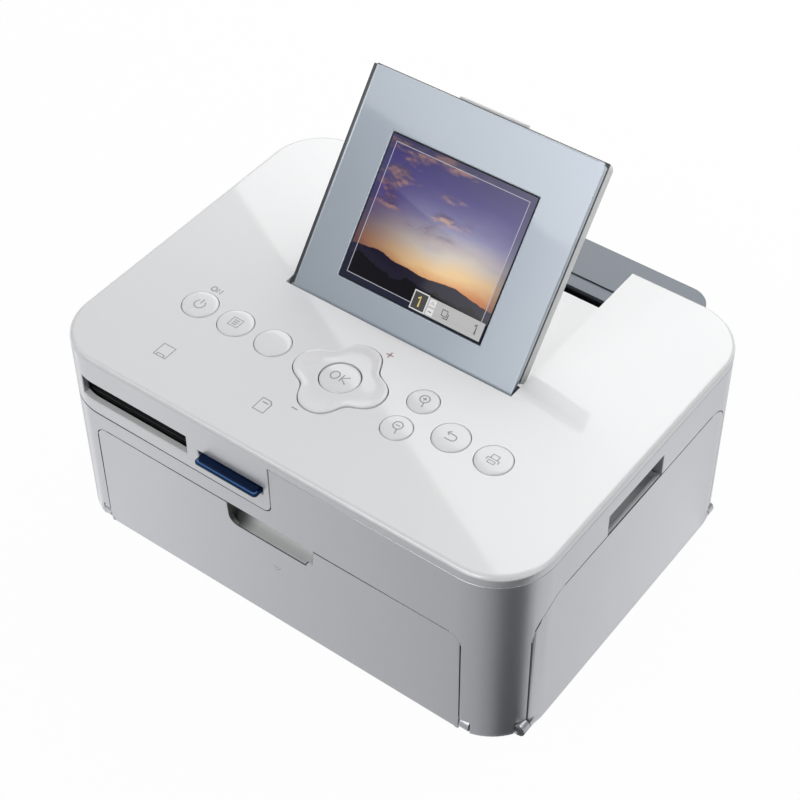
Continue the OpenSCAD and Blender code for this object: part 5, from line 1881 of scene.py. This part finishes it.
@dataclass
class Studio:
    """Floor, lamps, world and camera."""

    azimuth: float = 37.1
    elevation: float = 45.5
    roll: float = -0.5
    distance: float = 650 * MM
    lens: float = 87.1
    look_at: Place = (-14 * MM, 13 * MM, 22.5 * MM)
    floor_size: float = 6.0
    floor_tone: float = 0.80
    floor_glow: float = 0.97
    card_reach: float = 0.5
    card_gap: float = 0.5 * MM
    turn_step: int = 2
    left_corner: tuple[Point, ...] = ((-42, 0.6), (-36, 0.6), (-31, 1.5), (-27, 1.5), (-22, 0.9),
                                      (-12, 1.1), (0, 1.15))
    front: tuple[Point, ...] = ((0.0, 1.15), (0.5, 0.88), (1.0, 0.68))
    right_corner: tuple[Point, ...] = ((0, 0.66), (20, 0.56), (33, 0.32), (42, 0.06), (48, 0.0),
                                       (61, 0.0), (67, 0.7), (75, 0.95), (90, 0.9))
    right: tuple[Point, ...] = ((0.0, 0.9), (1.0, 1.15))
    card_high: tuple[Point, ...] = ((-1.3, 0.8), (-0.67, 2.4), (-0.40, 3.3), (0.2, 5.0))
    card_low: tuple[Point, ...] = ((-1.3, 0.0), (-0.62, 0.15), (-0.45, 0.5), (-0.39, 1.8),
                                   (0.2, 3.5))
    card_x: Point = (-1.3, 0.2)
    card_steps: int = 60
    card_line: Point = (0.584, -0.1866)
    card_y: float = -0.9
    card_top: float = 1.5
    card_bottom: float = 0.30
    world_glow: Point = (0.28, 0.72)
    world_color: Colour = (0.93, 0.95, 1.0)

    def build(self) -> None:
        """Builds the whole studio."""
        self.floor()
        ReflectionStrip("studio_card_base", self.base_rungs()).build()
        ReflectionStrip("studio_card_low", self.display_rungs(False)).build()
        ReflectionStrip("studio_card_high", self.display_rungs(True)).build()
        self.world()
        self.camera()
        for lamp in self.softboxes():
            lamp.build()

    def softboxes(self) -> Iterable[Softbox]:
        """Lists the lamps.

        Returns:
            The lamps, which aim at the body's middle or straight down behind it.
        """
        middle = (0.0, 0.0, 0.05)
        return (
            Softbox("softbox_back", (-0.22, 1.20, 0.90), (-0.22, 1.20, 0.0), (2.0, 1.3), 21.0,
                    roll=-27.2),
            Softbox("softbox_front", (-0.30, -1.45, 1.35), middle, (1.8, 1.0), 11.7),
            Softbox("softbox_right", (1.5, -0.1, 0.8), middle, (0.9, 1.2), 3.0),
            Softbox("softbox_left", (-1.4, -0.5, 0.9), middle, (0.8, 1.2), 2.0),
        )

    def floor(self) -> None:
        """Builds the pale floor, which shows white to the camera but keeps the shadow."""
        bm = bmesh.new()
        bmesh.ops.create_grid(bm, x_segments=1, y_segments=1, size=self.floor_size / 2)
        mesh = to_mesh(bm, "studio_floor")
        floor = add_object("studio_floor", mesh)
        made, graph = new_material("studio_floor")
        matt = graph.node("ShaderNodeBsdfDiffuse")
        matt.inputs["Color"].default_value = rgba((self.floor_tone,) * 3)
        path = graph.node("ShaderNodeLightPath").outputs
        mirrored = graph.math("MAXIMUM", path["Is Glossy Ray"], path["Is Transmission Ray"])
        seen = graph.math("MAXIMUM", path["Is Camera Ray"], mirrored)
        mixed = graph.node("ShaderNodeMixShader")
        graph.feed(mixed.inputs[0], graph.math("MULTIPLY", seen, self.floor_glow))
        graph.feed(mixed.inputs[1], matt.outputs[0])
        graph.feed(mixed.inputs[2], graph.node("ShaderNodeEmission").outputs[0])
        graph.surface(mixed.outputs[0])
        mesh.materials.append(made)
        floor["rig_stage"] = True

    def base_rungs(self) -> list[Rung]:
        """Returns the card on the floor that the sides reflect, from the left round to the rear.

        Returns:
            Rungs that start at the base and run the way the camera's view is reflected there.
        """
        outline = BodyOutline()
        low, high = outline.box
        r = outline.corner
        left, right, front, rear = low.x + r, high.x - r, low.y + r, high.y - r
        stops = [(left, front, turn, between(self.left_corner, turn))
                 for turn in range(self.left_corner[0][0], 1, self.turn_step)]
        stops += [(left + (right - left) * i / 10, front, 0, between(self.front, i / 10))
                  for i in range(1, 10)]
        stops += [(right, front, turn, between(self.right_corner, turn))
                  for turn in range(0, self.right_corner[-1][0] + 1, self.turn_step)]
        stops += [(right, front + (rear - front) * i / 10, 90, between(self.right, i / 10))
                  for i in range(1, 11)]
        rungs = []
        for x, y, turn, level in stops:
            a, out = math.radians(turn), math.radians(2 * turn - self.azimuth)
            base = Vector((x + (r + self.card_gap) * math.sin(a),
                           y - (r + self.card_gap) * math.cos(a), self.card_gap))
            reach = self.card_reach * Vector((math.sin(out), -math.cos(out), 0))
            rungs.append((base, base + reach, level))
        return rungs

    def display_rungs(self, high: bool) -> list[Rung]:
        """Returns one of the two cards that the display reflects; they meet in a slanted line.

        Args:
            high: Whether the card is the brighter one above the line.

        Returns:
            The card's rungs, from left to right.
        """
        stops = self.card_high if high else self.card_low
        end = self.card_top if high else self.card_bottom
        rungs = []
        (start, stop), (level, slope) = self.card_x, self.card_line
        for i in range(self.card_steps + 1):
            x = start + (stop - start) * i / self.card_steps
            line = level + slope * x
            rungs.append((Vector((x, self.card_y, line)), Vector((x, self.card_y, end)),
                          between(stops, x)))
        return rungs

    def world(self) -> None:
        """Sets an even pale grey world."""
        world = bpy.data.worlds.new("studio_world")
        bpy.context.scene.world = world
        world.use_nodes = True
        graph = Graph(world.node_tree)
        ground = world.node_tree.nodes["Background"]
        ground.inputs["Color"].default_value = rgba(self.world_color)
        path = graph.node("ShaderNodeLightPath").outputs
        plain, extra = self.world_glow
        lit = graph.math("ADD", graph.math("MULTIPLY", path["Is Camera Ray"], extra), plain)
        graph.feed(ground.inputs["Strength"], lit)

    def camera(self) -> None:
        """Builds the camera and aims it."""
        data = bpy.data.cameras.new("studio_camera")
        data.lens = self.lens
        camera = add_object("studio_camera", data)
        a, e = math.radians(self.azimuth), math.radians(self.elevation)
        back = Vector((math.sin(a) * math.cos(e), -math.cos(a) * math.cos(e), math.sin(e)))
        camera.matrix_world = facing(Vector(self.look_at) + back * self.distance, -back, self.roll)
        bpy.context.scene.camera = camera


def set_view() -> None:
    """Shows colours as they are written."""
    bpy.context.scene.view_settings.view_transform = "Standard"


def save_sizes() -> None:
    """Puts the CAD box and the dressed model's box side by side, in a dict that is not kept."""
    def plain(box: tuple[Vector, Vector]) -> list[list[float]]:
        """Returns a box as plain lists."""
        return [[round(c, 6) for c in corner] for corner in box]
    {"cad": plain(CAD_BOX), "visual": plain(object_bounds())}


def main() -> None:
    """Builds every sub-assembly in order."""
    logging.basicConfig(level=logging.INFO, format="%(message)s")
    set_view()
    Studio().build()
    CarriedNodes().dress()
    Casing().build()
    KeyField().build()
    DisplayPanel().build()
    MemoryCard().build()
    PrintedMarks().build()
    save_sizes()


if __name__ == "__main__":
    main()
